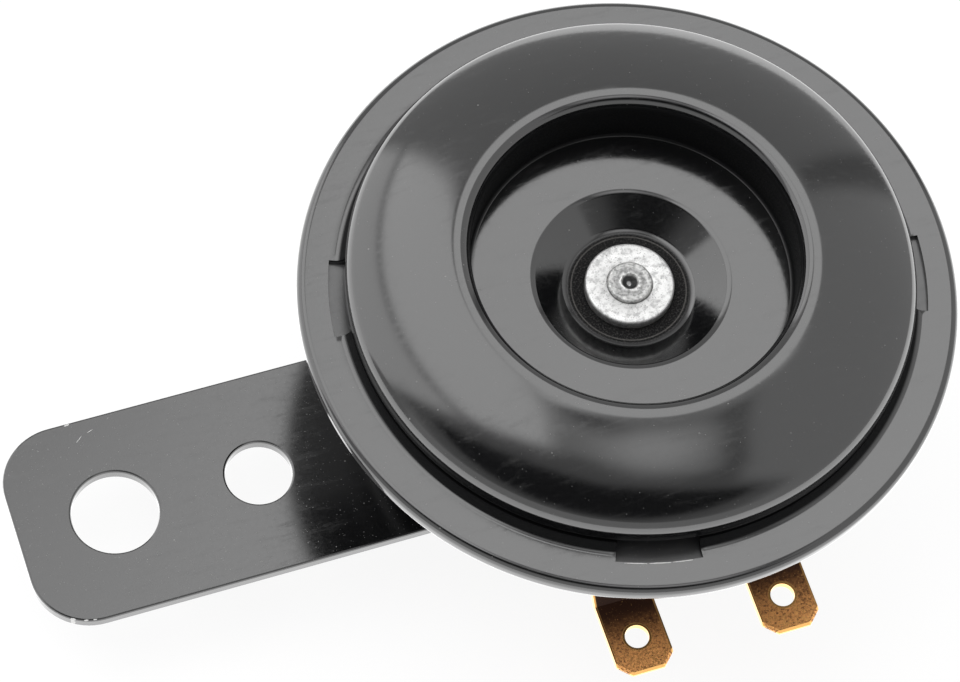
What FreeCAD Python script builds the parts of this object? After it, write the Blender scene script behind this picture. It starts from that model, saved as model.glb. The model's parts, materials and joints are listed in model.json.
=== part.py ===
"""Electric disc horn for a vehicle, with its mounting bracket, as a parametric document.

All lengths are in millimetres. The origin is the centre of the bracket's fixing hole, on the bracket's
rear face. +Z points the way that the horn sounds. The horn's own axis stands at +X from the origin, and the
two terminals point along -Y. Every sub-part is drawn about the horn's axis and then placed there.
"""
import FreeCAD, Part
import os
import re
from typing import NamedTuple, Optional

import Sketcher

# Driving dimensions: name, value, meaning. Heights are thicknesses and steps, added up in the levels below.
SIZES = [
    ("bracket_sheet", 1.5, "thickness of the mounting bracket"),
    ("bracket_width", 23.2, "width of the bracket"),
    ("bracket_corner", 6.5, "corner radius at the bracket's free end"),
    ("bracket_tip", 10.8, "fixing hole to the free end"),
    ("fixing_reach", 56.4, "fixing hole to the horn's axis"),
    ("fixing_radius", 4.75, "radius of the fixing hole"),
    ("second_pitch", 16.1, "fixing hole to the second hole"),
    ("second_radius", 3.65, "radius of the second hole"),
    ("stud_radius", 3.0, "radius of the rear stud"),
    ("stud_clearance", 0.2, "radial room round the stud in the bracket and washers"),
    ("stud_tail", 1.7, "stud left free behind the nut"),
    ("plain_washer_sheet", 1.2, "thickness of the plain washer"),
    ("plain_washer_radius", 6.0, "radius of the plain washer"),
    ("spring_washer_sheet", 1.5, "thickness of the spring washer"),
    ("spring_washer_radius", 5.2, "radius of the spring washer"),
    ("spring_washer_angle", 344, "degrees of ring left by the spring washer's slit"),
    ("nut_height", 5.0, "height of the rear nut"),
    ("nut_across", 10.0, "width across the nut's flats"),
    ("nut_chamfer", 0.5, "chamfer of the nut and of the stud's end"),
    ("housing_sheet", 0.8, "thickness of the pressed housing"),
    ("boss_depth", 7.5, "rear face of the boss to the shoulder"),
    ("cup_depth", 13.4, "shoulder to the housing's front rim"),
    ("rim_room", 0.8, "radial room round the housing's rim in the front ring"),
    ("housing_bend", 1.4, "outer bend radius of the housing"),
    ("gasket_sheet", 0.3, "thickness of the gasket"),
    ("gasket_width", 2.4, "width of the gasket ring"),
    ("diaphragm_sheet", 0.3, "thickness of the diaphragm"),
    ("diaphragm_dish", 1.6, "depth of the diaphragm's centre below its clamped edge"),
    ("diaphragm_flat", 9.0, "radius of the diaphragm's flat centre"),
    ("diaphragm_slope", 4.0, "width of the slope round the flat centre"),
    ("bead_inset", 8.0, "front ring's inner wall to the middle of the diaphragm's bead"),
    ("bead_width", 4.5, "width of the bead at its foot"),
    ("bead_height", 0.6, "height of the bead"),
    ("ring_sheet", 0.6, "thickness of the front ring"),
    ("ring_width", 5.0, "horn's rim to the front ring's inner wall"),
    ("rim_radius", 35.0, "outer radius of the horn"),
    ("rim_round", 1.2, "rounding of the rolled rim"),
    ("crimp_width", 2.8, "width of the rim's rolled rear lip"),
    ("ring_wall_height", 0.9, "height of the inner wall above the ring"),
    ("ring_wall_bend", 1.2, "bend radius at the foot of the inner wall"),
    ("window_count", 4, "number of sound windows round the ring"),
    ("window_angle", 16.4, "degrees spanned by one window"),
    ("window_notch", 0.55, "depth of a window in the flat of the ring"),
    ("window_turn", -13.7, "degrees from +X to the first window"),
    ("tone_sheet", 0.8, "thickness of the tone disc"),
    ("lip_offset", 0.25, "front ring's inner wall to the tone disc's edge"),
    ("skirt_slope", 70, "degrees of slope of the skirt"),
    ("skirt_drop", 3.15, "height of the skirt"),
    ("dome_radius", 21.2, "profile radius of the tone disc's dome"),
    ("dome_start", 8, "degrees of slope where the dome leaves the crest"),
    ("dome_end", 36, "degrees of slope where the dome meets its skirt"),
    ("crest_width", 1.3, "width of the flat crest round the recess"),
    ("lead_in_width", 0.6, "width of the slope at the mouth of the recess"),
    ("lead_in_height", 1.2, "height of the slope at the mouth of the recess"),
    ("recess_depth", 5.4, "height of the recess wall"),
    ("dish_radius", 10.2, "radius where the dish meets the recess floor"),
    ("dish_rise", 2.5, "height of the recess floor above the seat"),
    ("seat_radius", 7.1, "radius of the tone disc's central seat"),
    ("tone_bend", 0.9, "inner bend radius of the tone disc"),
    ("spacer_sheet", 0.8, "thickness of the spacer under the tone disc"),
    ("spacer_radius", 5.5, "radius of the spacer"),
    ("tone_washer_sheet", 1.2, "thickness of the washer on the tone disc"),
    ("tone_washer_radius", 4.75, "radius of the washer on the tone disc"),
    ("tone_washer_edge", 0.2, "chamfer of that washer"),
    ("stem_radius", 2.4, "radius of the armature's stem"),
    ("stem_clearance", 0.05, "radial room round the stem"),
    ("peen_height", 0.4, "height of the stem's peened end"),
    ("peen_round", 0.3, "rounding of the peened end"),
    ("dimple_radius", 0.95, "radius of the punch mark in the stem"),
    ("dimple_depth", 0.9, "depth of the punch mark"),
    ("armature_radius", 8.0, "radius of the armature"),
    ("armature_height", 5.0, "height of the armature"),
    ("armature_edge", 0.5, "chamfer of the armature"),
    ("air_gap", 1.0, "gap between the armature and the core"),
    ("core_radius", 6.0, "radius of the coil's core"),
    ("core_clearance", 0.05, "radial room round the core"),
    ("bobbin_room", 0.6, "radial room round the bobbin in the rear boss"),
    ("bobbin_wall", 0.9, "wall of the bobbin"),
    ("bobbin_gap", 0.9, "core's end above the bobbin"),
    ("winding_depth", 6.85, "depth of the wound coil on the bobbin"),
    ("winding_inset", 0.8, "bobbin's edge to the wound coil"),
    ("insulator_sheet", 0.8, "thickness of the terminal insulators"),
    ("insulator_length", 24.4, "length of the outer insulator"),
    ("insulator_room", 2.4, "side of the rear boss to the insulators"),
    ("insulator_margin", 0.5, "insulators' inner edge to the terminals' inner end"),
    ("inner_insulator_length", 22.8, "length of the inner insulator"),
    ("inner_insulator_front", 1.5, "terminal rivets to the inner insulator's outer edge"),
    ("terminal_sheet", 0.8, "thickness of a terminal"),
    ("terminal_width", 6.35, "width of a terminal"),
    ("terminal_offset", 8.25, "horn's centre line to a terminal's"),
    ("terminal_back", 2.8, "terminal rivet to the terminal's inner end"),
    ("terminal_front", 2.9, "terminal rivet to the start of the terminal's step"),
    ("terminal_step", 2.4, "run of the terminal's step"),
    ("terminal_drop", 2.6, "height of the terminal's step"),
    ("terminal_reach", 0.4, "horn's rim to the terminal's tip"),
    ("terminal_hole", 1.3, "radius of the terminal's hole"),
    ("terminal_hole_inset", 4.0, "terminal's hole to its tip"),
    ("terminal_chamfer", 1.4, "corner chamfer at the terminal's tip"),
    ("terminal_bevel", 0.25, "bevel round the terminal's tip"),
    ("rivet_radius", 1.25, "shank radius of a terminal rivet"),
    ("rivet_head_radius", 2.3, "head radius of a terminal rivet"),
    ("rivet_head_height", 0.9, "head height of a terminal rivet"),
    ("rivet_insulation", 0.7, "radial room round a terminal rivet in the housing"),
    ("hole_clearance", 0.05, "radial room round a rivet or stud in its own parts"),
    ("tag_sheet", 0.5, "thickness of a solder tag"),
    ("tag_width", 2.8, "width of a solder tag"),
    ("tag_short", 2.0, "terminal rivet to its tag's outer end"),
    ("tag_long", 4.7, "terminal rivet to its tag's inner end"),
    ("block_room", 1.3, "contact block to the side of the housing's cup"),
    ("block_width", 4.2, "width of the contact block"),
    ("block_length", 10.0, "length of the contact block"),
    ("contact_rivet_offset", 2.9, "horn's centre line to a contact rivet's"),
    ("contact_rivet_radius", 1.0, "shank radius of a contact rivet"),
    ("contact_head_radius", 1.6, "head radius of a contact rivet"),
    ("contact_head_height", 0.7, "head height of a contact rivet"),
    ("leaf_gap", 0.6, "contact leaf to the armature"),
    ("leaf_sheet", 0.25, "thickness of the contact leaf"),
    ("leaf_lap", 1.1, "contact leaf's reach under the armature's edge"),
    ("contact_gap", 0.5, "fixed arm to contact leaf"),
    ("contact_radius", 1.3, "radius of a contact point"),
    ("contact_offset", 1.4, "adjusting screw to the contact points"),
    ("fixed_arm_sheet", 0.6, "thickness of the fixed contact's arm"),
    ("arm_width", 5.2, "width of the contact arms' noses"),
    ("arm_margin", 0.3, "contact point to the end of its arm"),
    ("arm_insulation", 0.6, "radial room round a contact rivet in the fixed arm"),
    ("clamp_sheet", 0.6, "thickness of the clamp plate"),
    ("tail_width", 2.6, "width of the contact arms' solder tails"),
    ("tail_length", 2.6, "length of the solder tails"),
    ("adjuster_room", 1.0, "adjusting screw to the contact block"),
    ("adjuster_radius", 1.5, "radius of the adjusting screw"),
    ("adjuster_tail", 3.1, "adjusting screw's end behind the shoulder"),
    ("adjuster_slot_width", 0.7, "width of the screwdriver slot"),
    ("adjuster_slot_depth", 0.9, "depth of the screwdriver slot"),
    ("collar_gap", 0.3, "side of the rear boss to the threaded collar"),
    ("collar_wall", 0.9, "wall of the housing's threaded collar"),
    ("collar_height", 1.6, "height of the threaded collar"),
    ("solder_inset", 1.0, "centre of a soldered wire from the end that carries it"),
    ("lead_radius", 0.45, "radius of a coil lead"),
    ("lead_rise", 2.2, "height of the leads above the contact leaf"),
    ("lead_bend", 1.2, "bend radius of a lead"),
    ("lead_inset", 2.2, "bobbin's edge to where the leads enter it"),
]

# Levels above the bracket's rear face, each a sum of the sizes that stack up to it.
BACK = "bracket_sheet"
BACK_INSIDE = f"({BACK} + housing_sheet)"
SHOULDER = f"({BACK} + boss_depth)"
SHOULDER_INSIDE = f"({SHOULDER} + housing_sheet)"
CUP_RIM = f"({SHOULDER} + cup_depth)"
DIAPHRAGM_UNDER = f"({CUP_RIM} + gasket_sheet)"
DIAPHRAGM_TOP = f"({DIAPHRAGM_UNDER} + diaphragm_sheet)"
RING_TOP = f"({DIAPHRAGM_TOP} + ring_sheet)"
RIM_REAR = f"({CUP_RIM} - housing_sheet - ring_sheet)"
CENTRE_TOP = f"({DIAPHRAGM_TOP} - diaphragm_dish)"
CENTRE_UNDER = f"({CENTRE_TOP} - diaphragm_sheet)"
ARMATURE_UNDER = f"({CENTRE_UNDER} - armature_height)"
CORE_TOP = f"({ARMATURE_UNDER} - air_gap)"
BOBBIN_TOP = f"({CORE_TOP} - bobbin_gap)"
TONE_UNDER = f"({CENTRE_TOP} + spacer_sheet)"
SEAT = f"({TONE_UNDER} + tone_sheet)"
FLOOR = f"({SEAT} + dish_rise)"
RECESS_EDGE = f"({FLOOR} + recess_depth)"
CREST = f"({RECESS_EDGE} + lead_in_height)"
DOME_LOW = f"({CREST} - dome_radius * (cos(dome_start * 1 deg) - cos(dome_end * 1 deg)))"
WASHER_TOP = f"({SEAT} + tone_washer_sheet)"
STEM_TOP = f"({WASHER_TOP} + peen_height)"
TERMINAL_TOP = f"({SHOULDER} - insulator_sheet)"
TERMINAL_UNDER = f"({TERMINAL_TOP} - terminal_sheet)"
INNER_INSULATOR_TOP = f"({SHOULDER_INSIDE} + insulator_sheet)"
TAG_TOP = f"({INNER_INSULATOR_TOP} + tag_sheet)"
LEAF_TOP = f"({ARMATURE_UNDER} - leaf_gap)"
LEAF_UNDER = f"({LEAF_TOP} - leaf_sheet)"
FIXED_ARM_TOP = f"({LEAF_UNDER} - contact_gap)"
BLOCK_TOP = f"({FIXED_ARM_TOP} - fixed_arm_sheet)"
CLAMP_TOP = f"({LEAF_TOP} + clamp_sheet)"
LEAD_TOP = f"({LEAF_TOP} + lead_rise)"
WASHER_UNDER = "-plain_washer_sheet"
NUT_TOP = f"({WASHER_UNDER} - spring_washer_sheet)"
NUT_UNDER = f"({NUT_TOP} - nut_height)"
STUD_END = f"({NUT_UNDER} - stud_tail)"

# Radii and distances from the horn's axis: from the rim inwards, then from the core outwards.
CUP_RIM_RADIUS = "(rim_radius - ring_sheet - rim_room)"
WALL_RADIUS = "(rim_radius - ring_width)"
BEAD_RADIUS = f"({WALL_RADIUS} - bead_inset)"
LIP_RADIUS = f"({WALL_RADIUS} - lip_offset)"
DOME_OUT = f"({LIP_RADIUS} - skirt_drop / tan(skirt_slope * 1 deg))"
DOME_FOOT = f"({DOME_OUT} - dome_radius * (sin(dome_end * 1 deg) - sin(dome_start * 1 deg)))"
MOUTH = f"({DOME_FOOT} - crest_width)"
RECESS_RADIUS = f"({MOUTH} - lead_in_width)"
TERMINAL_TIP = "(rim_radius + terminal_reach)"
BOBBIN_BORE = "(core_radius + core_clearance)"
BOBBIN_TUBE = f"({BOBBIN_BORE} + bobbin_wall)"
WINDING_RADIUS = f"({BOBBIN_TUBE} + winding_depth)"
BOBBIN_RADIUS = f"({WINDING_RADIUS} + winding_inset)"
LEAD_FOOT = f"({BOBBIN_RADIUS} - lead_inset)"
BOSS_INSIDE = f"({BOBBIN_RADIUS} + bobbin_room)"
BOSS_RADIUS = f"({BOSS_INSIDE} + housing_sheet)"
ADJUSTER_ROW = f"({BOSS_RADIUS} + collar_gap + collar_wall + adjuster_radius)"
CONTACT_ROW = f"({ADJUSTER_ROW} - contact_offset)"
BLOCK_NEAR = f"({ADJUSTER_ROW} + adjuster_radius + adjuster_room)"
BLOCK_FAR = f"({BLOCK_NEAR} + block_width)"
CONTACT_RIVET_ROW = f"({BLOCK_NEAR} + block_width / 2)"
CUP_INSIDE = f"({BLOCK_FAR} + block_room)"
INSULATOR_NEAR = f"({BOSS_RADIUS} + insulator_room)"
TERMINAL_ROOT = f"({INSULATOR_NEAR} + insulator_margin)"
TERMINAL_ROW = f"({TERMINAL_ROOT} + terminal_back)"
TERMINAL_BEND = f"({TERMINAL_ROW} + terminal_front)"
STEM_HOLE = "(stem_radius + stem_clearance)"
STUD_HOLE = "(stud_radius + stud_clearance)"
STUD_BORE = "(stud_radius + hole_clearance)"
RIVET_HOLE = "(rivet_radius + hole_clearance)"

MATCH = 0.01  # how near an edge must lie to the place that names it


class Corner(NamedTuple):
    """One corner of an outline. radius and turn describe the arc that leaves it, if one does."""
    x: str
    y: str
    radius: Optional[str] = None
    turn: int = 0  # 1 where the arc bends to the left of the way that the outline runs, -1 to the right


class Step(NamedTuple):
    """One corner on the face of a pressed sheet. An arc that leaves it has its slope at both ends."""
    x: str
    y: str
    radius: Optional[str] = None
    turn: int = 0
    start: Optional[str] = None
    end: Optional[str] = None


doc = FreeCAD.newDocument("disc_horn")
sheet = doc.addObject("Spreadsheet::Sheet", "Sizes")
for row, (alias, number, meaning) in enumerate(SIZES, start=1):
    sheet.set(f"A{row}", meaning)
    sheet.set(f"B{row}", str(number))
    sheet.setAlias(f"B{row}", alias)
doc.recompute()
NAMES = re.compile(r"\b(" + "|".join(alias for alias, number, meaning in SIZES) + r")\b")


def bound(text):
    """An expression on the sheet's cells, from one that uses their bare names."""
    return NAMES.sub(r"Sizes.\1", text)


def value(text):
    """The number that an expression gives now."""
    result = sheet.evalExpression(bound(text))
    return float(getattr(result, "Value", result))


def new_body(label, turn=None, at=("0", "0", "0")):
    """A body drawn about the horn's axis, placed there, moved by at and turned by the angle turn."""
    body = doc.addObject("PartDesign::Body", label)
    body.Label = label
    body.setExpression("Placement.Base.x", bound(f"fixing_reach + {at[0]}"))
    body.setExpression("Placement.Base.y", bound(at[1]))
    body.setExpression("Placement.Base.z", bound(at[2]))
    if turn:
        body.Placement.Rotation = FreeCAD.Rotation(FreeCAD.Vector(0, 0, 1), 0)
        body.setExpression("Placement.Rotation.Angle", bound(turn))
    return body


def origin_part(body, role):
    """A plane or axis of the body's own origin."""
    return next(part for part in body.Origin.OriginFeatures if part.Role == role)


def new_sketch(body, name, plane):
    """An empty sketch on one of the body's origin planes."""
    sketch = body.newObject("Sketcher::SketchObject", name)
    sketch.AttachmentSupport = [(origin_part(body, plane), "")]
    sketch.MapMode = "FlatFace"
    return sketch


def arc_between(start, end, radius, turn):
    """The short arc from start to end that bends to the left (turn 1) or to the right (turn -1)."""
    chord = end - start
    middle = (start + end) * 0.5
    left = FreeCAD.Vector(-chord.y, chord.x, 0).normalize()
    sagitta = radius - max(radius ** 2 - (chord.Length / 2) ** 2, 0) ** 0.5
    return Part.Arc(start, middle - left * (turn * sagitta), end)


def pin_point(sketch, geometry, position, place, rules, bindings):
    """Ties one point of the sketch to its two expressions. A plain 0 puts it on the axis."""
    for kind, text, axis in (("DistanceX", place[0], -2), ("DistanceY", place[1], -1)):
        if text == "0":
            rules.append(Sketcher.Constraint("PointOnObject", geometry, position, axis))
        else:
            bindings[len(rules)] = text
            rules.append(Sketcher.Constraint(kind, -1, 1, geometry, position, value(text)))


def tie(sketch, rules, bindings):
    """Adds the constraints and binds the numbers among them to the sheet."""
    sketch.addConstraint(rules)
    for index, text in bindings.items():
        sketch.setExpression(f"Constraints[{index}]", bound(text))


def outline(body, name, corners, plane="XZ_Plane", closed=True):
    """A sketch through the corners, with every corner and arc radius bound to the sheet."""
    sketch = new_sketch(body, name, plane)
    spots = [FreeCAD.Vector(value(corner.x), value(corner.y), 0) for corner in corners]
    rules, bindings, ends = [], {}, []
    runs = corners if closed else corners[:-1]
    for index, corner in enumerate(runs):
        start, end = spots[index], spots[(index + 1) % len(spots)]
        if corner.radius is None:
            sketch.addGeometry(Part.LineSegment(start, end), False)
            ends.append((1, 2))
            continue
        sketch.addGeometry(arc_between(start, end, value(corner.radius), corner.turn), False)
        gaps = [sketch.getPoint(index, position).distanceToPoint(start) for position in (1, 2)]
        ends.append((1, 2) if gaps[0] < gaps[1] else (2, 1))
        bindings[len(rules)] = corner.radius
        rules.append(Sketcher.Constraint("Radius", index, value(corner.radius)))
    for index, corner in enumerate(runs):
        if closed or index:
            rules.append(Sketcher.Constraint("Coincident", index - 1 if index else len(runs) - 1,
                                             ends[index - 1][1], index, ends[index][0]))
        pin_point(sketch, index, ends[index][0], corner, rules, bindings)
    if not closed:
        pin_point(sketch, len(runs) - 1, ends[-1][1], corners[-1], rules, bindings)
    tie(sketch, rules, bindings)
    return sketch


def slope(here, there):
    """The angle of the straight run from one step to the next."""
    return f"atan2({there.y} - ({here.y}); {there.x} - ({here.x}))"


def pressed(steps, thickness):
    """The closed section of a sheet of even thickness whose upper or outer face runs through the steps."""
    starts = [step.start or slope(step, following) for step, following in zip(steps, steps[1:])]
    ends = [step.end or slope(step, following) for step, following in zip(steps, steps[1:])]
    face = [Corner(step.x, step.y, step.radius, step.turn) for step in steps[:-1]]
    face.append(Corner(steps[-1].x, steps[-1].y))
    back = []
    for index, step in enumerate(steps):
        before = ends[index - 1] if index else starts[0]
        after = starts[index] if index < len(starts) else ends[-1]
        share = f"{thickness} / cos(({before} - ({after})) / 2)"
        half = f"({before} + {after}) / 2"
        back.append(Corner(f"{step.x} + sin({half}) * {share}", f"{step.y} - cos({half}) * {share}"))
    for index, step in enumerate(steps[:-1]):
        if step.radius:
            sign = "-" if step.turn < 0 else "+"
            place = back[index + 1]
            back[index + 1] = Corner(place.x, place.y, f"{step.radius} {sign} {thickness}", -step.turn)
    return face + back[::-1], back


def turned(label, corners, sweep=None, **place):
    """A body of revolution about the vertical axis."""
    body = new_body(label, **place)
    spin = body.newObject("PartDesign::Revolution", f"{label}_turning")
    spin.Profile = outline(body, f"{label}_section", corners)
    spin.ReferenceAxis = (spin.Profile[0], ["V_Axis"])
    spin.Angle = 360
    if sweep:
        spin.setExpression("Angle", bound(sweep))
    doc.recompute()
    return body


def ring_section(inner, outer, low, high):
    """The section of a plain ring, or of a disc where inner is 0."""
    return [Corner(inner, low), Corner(outer, low), Corner(outer, high), Corner(inner, high)]


def near(first, second):
    """True where two points of a section or a plan are the same."""
    return abs(first[0] - second[0]) < MATCH and abs(first[1] - second[1]) < MATCH


def is_upright(edge):
    """True for an edge along Z."""
    return near(edge.Vertexes[0].Point, edge.Vertexes[-1].Point) and not isinstance(edge.Curve, Part.Circle)


def round_at(places):
    """A test for the circular edges that pass through the given places of the section."""
    spots = [(value(x), value(y)) for x, y in places]
    return lambda edge: isinstance(edge.Curve, Part.Circle) and any(
        near((edge.Curve.Radius, edge.Curve.Center.z), spot) for spot in spots)


def upright_at(places):
    """A test for the upright edges that stand at the given places of the plan."""
    spots = [(value(x), value(y)) for x, y in places]
    return lambda edge: is_upright(edge) and any(near(edge.Vertexes[0].Point, spot) for spot in spots)


def level_beyond(limit):
    """A test for the level edges that lie wholly at or beyond -Y by the limit."""
    edge_of_tip = MATCH - value(limit)
    return lambda edge: not is_upright(edge) and all(corner.Point.y < edge_of_tip for corner in edge.Vertexes)


def dress(body, kind, name, test, size):
    """Puts one Fillet or Chamfer feature on every edge of the body's last feature that the test names."""
    base = body.Tip
    names = [f"Edge{number}" for number, edge in enumerate(base.Shape.Edges, start=1) if test(edge)]
    if not names:
        raise RuntimeError(f"{body.Label}: no edge for {name}")
    feature = body.newObject(f"PartDesign::{kind}", name)
    feature.Base = (base, names)
    feature.setExpression("Radius" if kind == "Fillet" else "Size", bound(size))
    doc.recompute()


def plate(label, corners, low, thickness, **place):
    """A flat plate with the given outline, standing on the given level."""
    at = place.pop("at", ("0", "0", "0"))
    body = new_body(label, at=(at[0], at[1], low), **place)
    pad = body.newObject("PartDesign::Pad", f"{label}_plate")
    pad.Profile = outline(body, f"{label}_outline", corners, plane="XY_Plane")
    pad.setExpression("Length", bound(thickness))
    doc.recompute()
    return body


def cut_through(body, name, sketch):
    """A pocket from the sketch through everything, both ways."""
    before = body.Tip.Shape.Volume
    pocket = body.newObject("PartDesign::Pocket", name)
    pocket.Profile = sketch
    pocket.Type = "ThroughAll"
    pocket.SideType = "Symmetric"
    doc.recompute()
    if not pocket.Shape.Volume < before:
        raise RuntimeError(f"{body.Label}: {name} cuts nothing")
    return pocket


def circles(body, name, rounds, level="0"):
    """A sketch of circles on the given level, each given as x, y and radius."""
    sketch = new_sketch(body, name, "XY_Plane")
    sketch.setExpression("AttachmentOffset.Base.z", bound(level))
    rules, bindings = [], {}
    for index, (x, y, radius) in enumerate(rounds):
        centre = FreeCAD.Vector(value(x), value(y), 0)
        sketch.addGeometry(Part.Circle(centre, FreeCAD.Vector(0, 0, 1), value(radius)), False)
        pin_point(sketch, index, 3, (x, y), rules, bindings)
        bindings[len(rules)] = radius
        rules.append(Sketcher.Constraint("Radius", index, value(radius)))
    tie(sketch, rules, bindings)
    return sketch


def drill(body, name, holes):
    """Round holes along the body's Z."""
    return cut_through(body, name, circles(body, f"{name}_circles", holes))


def repeat(body, feature, along, spacing):
    """A second copy of everything that the feature made, moved along one of the body's axes."""
    body.AllowCompound = True
    pattern = body.newObject("PartDesign::LinearPattern", f"{body.Label}_pair")
    pattern.Originals = [feature]
    pattern.Direction = (origin_part(body, along), [""])
    pattern.Occurrences = 2
    pattern.setExpression("Length", bound(spacing))
    body.Tip = pattern
    doc.recompute()


def rectangle(left, near, right, far):
    """The corners of a rectangle from its two X and its two Y values."""
    return [Corner(left, near), Corner(right, near), Corner(right, far), Corner(left, far)]


def make_bracket():
    """The flat strip that carries the horn, with a round end under it and two holes at the free end."""
    tip = "-(fixing_reach + bracket_tip)"
    side = "bracket_width / 2"
    corners = [Corner(tip, f"-{side}"), Corner("0", f"-{side}", side, 1), Corner(side, "0", side, 1),
               Corner("0", side), Corner(tip, side)]
    body = plate("mounting_bracket", corners, "0", "bracket_sheet")
    dress(body, "Fillet", "bracket_corners", upright_at([(tip, f"-{side}"), (tip, side)]), "bracket_corner")
    drill(body, "bracket_holes", [("0", "0", STUD_HOLE), ("-fixing_reach", "0", "fixing_radius"),
                                  ("-(fixing_reach - second_pitch)", "0", "second_radius")])


def make_fixings():
    """The washers and the nut that clamp the bracket to the housing's stud."""
    turned("plain_washer", ring_section(STUD_HOLE, "plain_washer_radius", WASHER_UNDER, "0"))
    turned("spring_washer", ring_section(STUD_HOLE, "spring_washer_radius", NUT_TOP, WASHER_UNDER),
           sweep="spring_washer_angle * 1 deg")
    flat = "nut_across / 2"
    point = f"{flat} / cos(30 deg)"
    side = f"{point} / 2"
    corners = [Corner(point, "0"), Corner(side, flat), Corner(f"-{side}", flat),
               Corner(f"-{point}", "0"), Corner(f"-{side}", f"-{flat}"), Corner(side, f"-{flat}")]
    body = plate("rear_nut", corners, NUT_UNDER, "nut_height")
    drill(body, "nut_bore", [("0", "0", STUD_BORE)])
    groove = body.newObject("PartDesign::Groove", "nut_chamfer_cut")
    inner = f"{point} - nut_chamfer / tan(30 deg)"
    outer = f"{point} + nut_chamfer / tan(30 deg)"
    groove.Profile = outline(body, "nut_chamfer_section",
                             [Corner(inner, "0"), Corner(outer, "0"), Corner(outer, "2 * nut_chamfer")])
    groove.ReferenceAxis = (groove.Profile[0], ["V_Axis"])
    groove.Angle = 360
    doc.recompute()


def make_housing():
    """The pressed steel cup: a rear boss for the coil, a shoulder for the switchgear and a front rim."""
    faces = [Step(STUD_BORE, BACK_INSIDE), Step(BOSS_INSIDE, BACK_INSIDE), Step(BOSS_INSIDE, SHOULDER_INSIDE),
             Step(CUP_INSIDE, SHOULDER_INSIDE), Step(CUP_INSIDE, CUP_RIM), Step(CUP_RIM_RADIUS, CUP_RIM)]
    section, back = pressed(faces, "housing_sheet")
    body = turned("rear_housing", section)
    tight = "housing_bend - housing_sheet"
    wide = "housing_bend"
    dress(body, "Fillet", "inner_bends", round_at([faces[1][:2], faces[3][:2]]), tight)
    dress(body, "Fillet", "outer_bends", round_at([back[1][:2], back[3][:2]]), wide)
    dress(body, "Fillet", "wide_bends", round_at([faces[2][:2], faces[4][:2]]), wide)
    dress(body, "Fillet", "tight_bends", round_at([back[2][:2], back[4][:2]]), tight)
    collar = body.newObject("PartDesign::Pad", "adjuster_collar")
    collar.Profile = circles(body, "collar_circle",
                             [(ADJUSTER_ROW, "0", "adjuster_radius + collar_wall")], SHOULDER)
    collar.setExpression("Length", bound("housing_sheet + collar_height"))
    doc.recompute()
    holes = [(ADJUSTER_ROW, "0", "adjuster_radius")]
    for side in ("", "-"):
        holes.append((f"{side}terminal_offset", f"-{TERMINAL_ROW}", "rivet_radius + rivet_insulation"))
        holes.append((CONTACT_RIVET_ROW, f"{side}contact_rivet_offset",
                      "contact_rivet_radius + hole_clearance"))
    drill(body, "housing_holes", holes)


def make_front_ring():
    """The front ring, rolled round the housing's rim, with an upturned inner wall cut by four windows."""
    foot = f"({WALL_RADIUS} + sqrt(ring_wall_bend ^ 2 - (ring_wall_bend - ring_wall_height) ^ 2))"
    lean = "-acos((ring_wall_bend - ring_wall_height) / ring_wall_bend)"
    faces = [Step(WALL_RADIUS, f"{RING_TOP} + ring_wall_height", "ring_wall_bend", 1, lean, "0 deg"),
             Step(foot, RING_TOP), Step("rim_radius", RING_TOP), Step("rim_radius", RIM_REAR),
             Step("rim_radius - crimp_width", RIM_REAR)]
    section, back = pressed(faces, "ring_sheet")
    body = turned("front_ring", section, turn="window_turn * 1 deg")
    dress(body, "Fillet", "rim_rounds", round_at([faces[2][:2], faces[3][:2]]), "rim_round")
    dress(body, "Fillet", "rim_inner_rounds", round_at([back[2][:2], back[3][:2]]), "rim_round - ring_sheet")
    outer = f"({foot} + window_notch)"
    inner = f"({WALL_RADIUS} - ring_wall_bend - ring_sheet)"
    half = "(window_angle / 2 * 1 deg)"
    corners = [Corner(f"{inner} * cos{half}", f"-{inner} * sin{half}"),
               Corner(f"{outer} * cos{half}", f"-{outer} * sin{half}", outer, 1),
               Corner(f"{outer} * cos{half}", f"{outer} * sin{half}"),
               Corner(f"{inner} * cos{half}", f"{inner} * sin{half}")]
    window = cut_through(body, "sound_window", outline(body, "window_outline", corners, plane="XY_Plane"))
    pattern = body.newObject("PartDesign::PolarPattern", "sound_windows")
    pattern.Originals = [window]
    pattern.Axis = (origin_part(body, "Z_Axis"), [""])
    pattern.Angle = 360
    pattern.setExpression("Occurrences", bound("window_count"))
    body.Tip = pattern
    doc.recompute()


def make_tone_disc():
    """The tone disc: a seat and dish in a flat-floored recess, a crest, a dome and a free skirt."""
    faces = [Step(STEM_HOLE, SEAT), Step("seat_radius", SEAT), Step("dish_radius", FLOOR),
             Step(RECESS_RADIUS, FLOOR), Step(RECESS_RADIUS, RECESS_EDGE), Step(MOUTH, CREST),
             Step(DOME_FOOT, CREST, "dome_radius", -1, "-dome_start * 1 deg", "-dome_end * 1 deg"),
             Step(DOME_OUT, DOME_LOW), Step(LIP_RADIUS, f"{DOME_LOW} - skirt_drop")]
    section, back = pressed(faces, "tone_sheet")
    body = turned("tone_disc", section)
    tight = [faces[3][:2], faces[5][:2], faces[7][:2]]
    dress(body, "Fillet", "tight_bends", round_at(tight), "tone_bend")
    dress(body, "Fillet", "wide_bend", round_at([back[3][:2]]), "tone_bend + tone_sheet")
    dress(body, "Fillet", "crest_bends", round_at([back[5][:2], back[7][:2]]), "tone_bend - tone_sheet / 2")
    dish = [faces[1][:2], faces[2][:2], back[1][:2], back[2][:2]]
    dress(body, "Fillet", "dish_bends", round_at(dish), "tone_bend")


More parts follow.
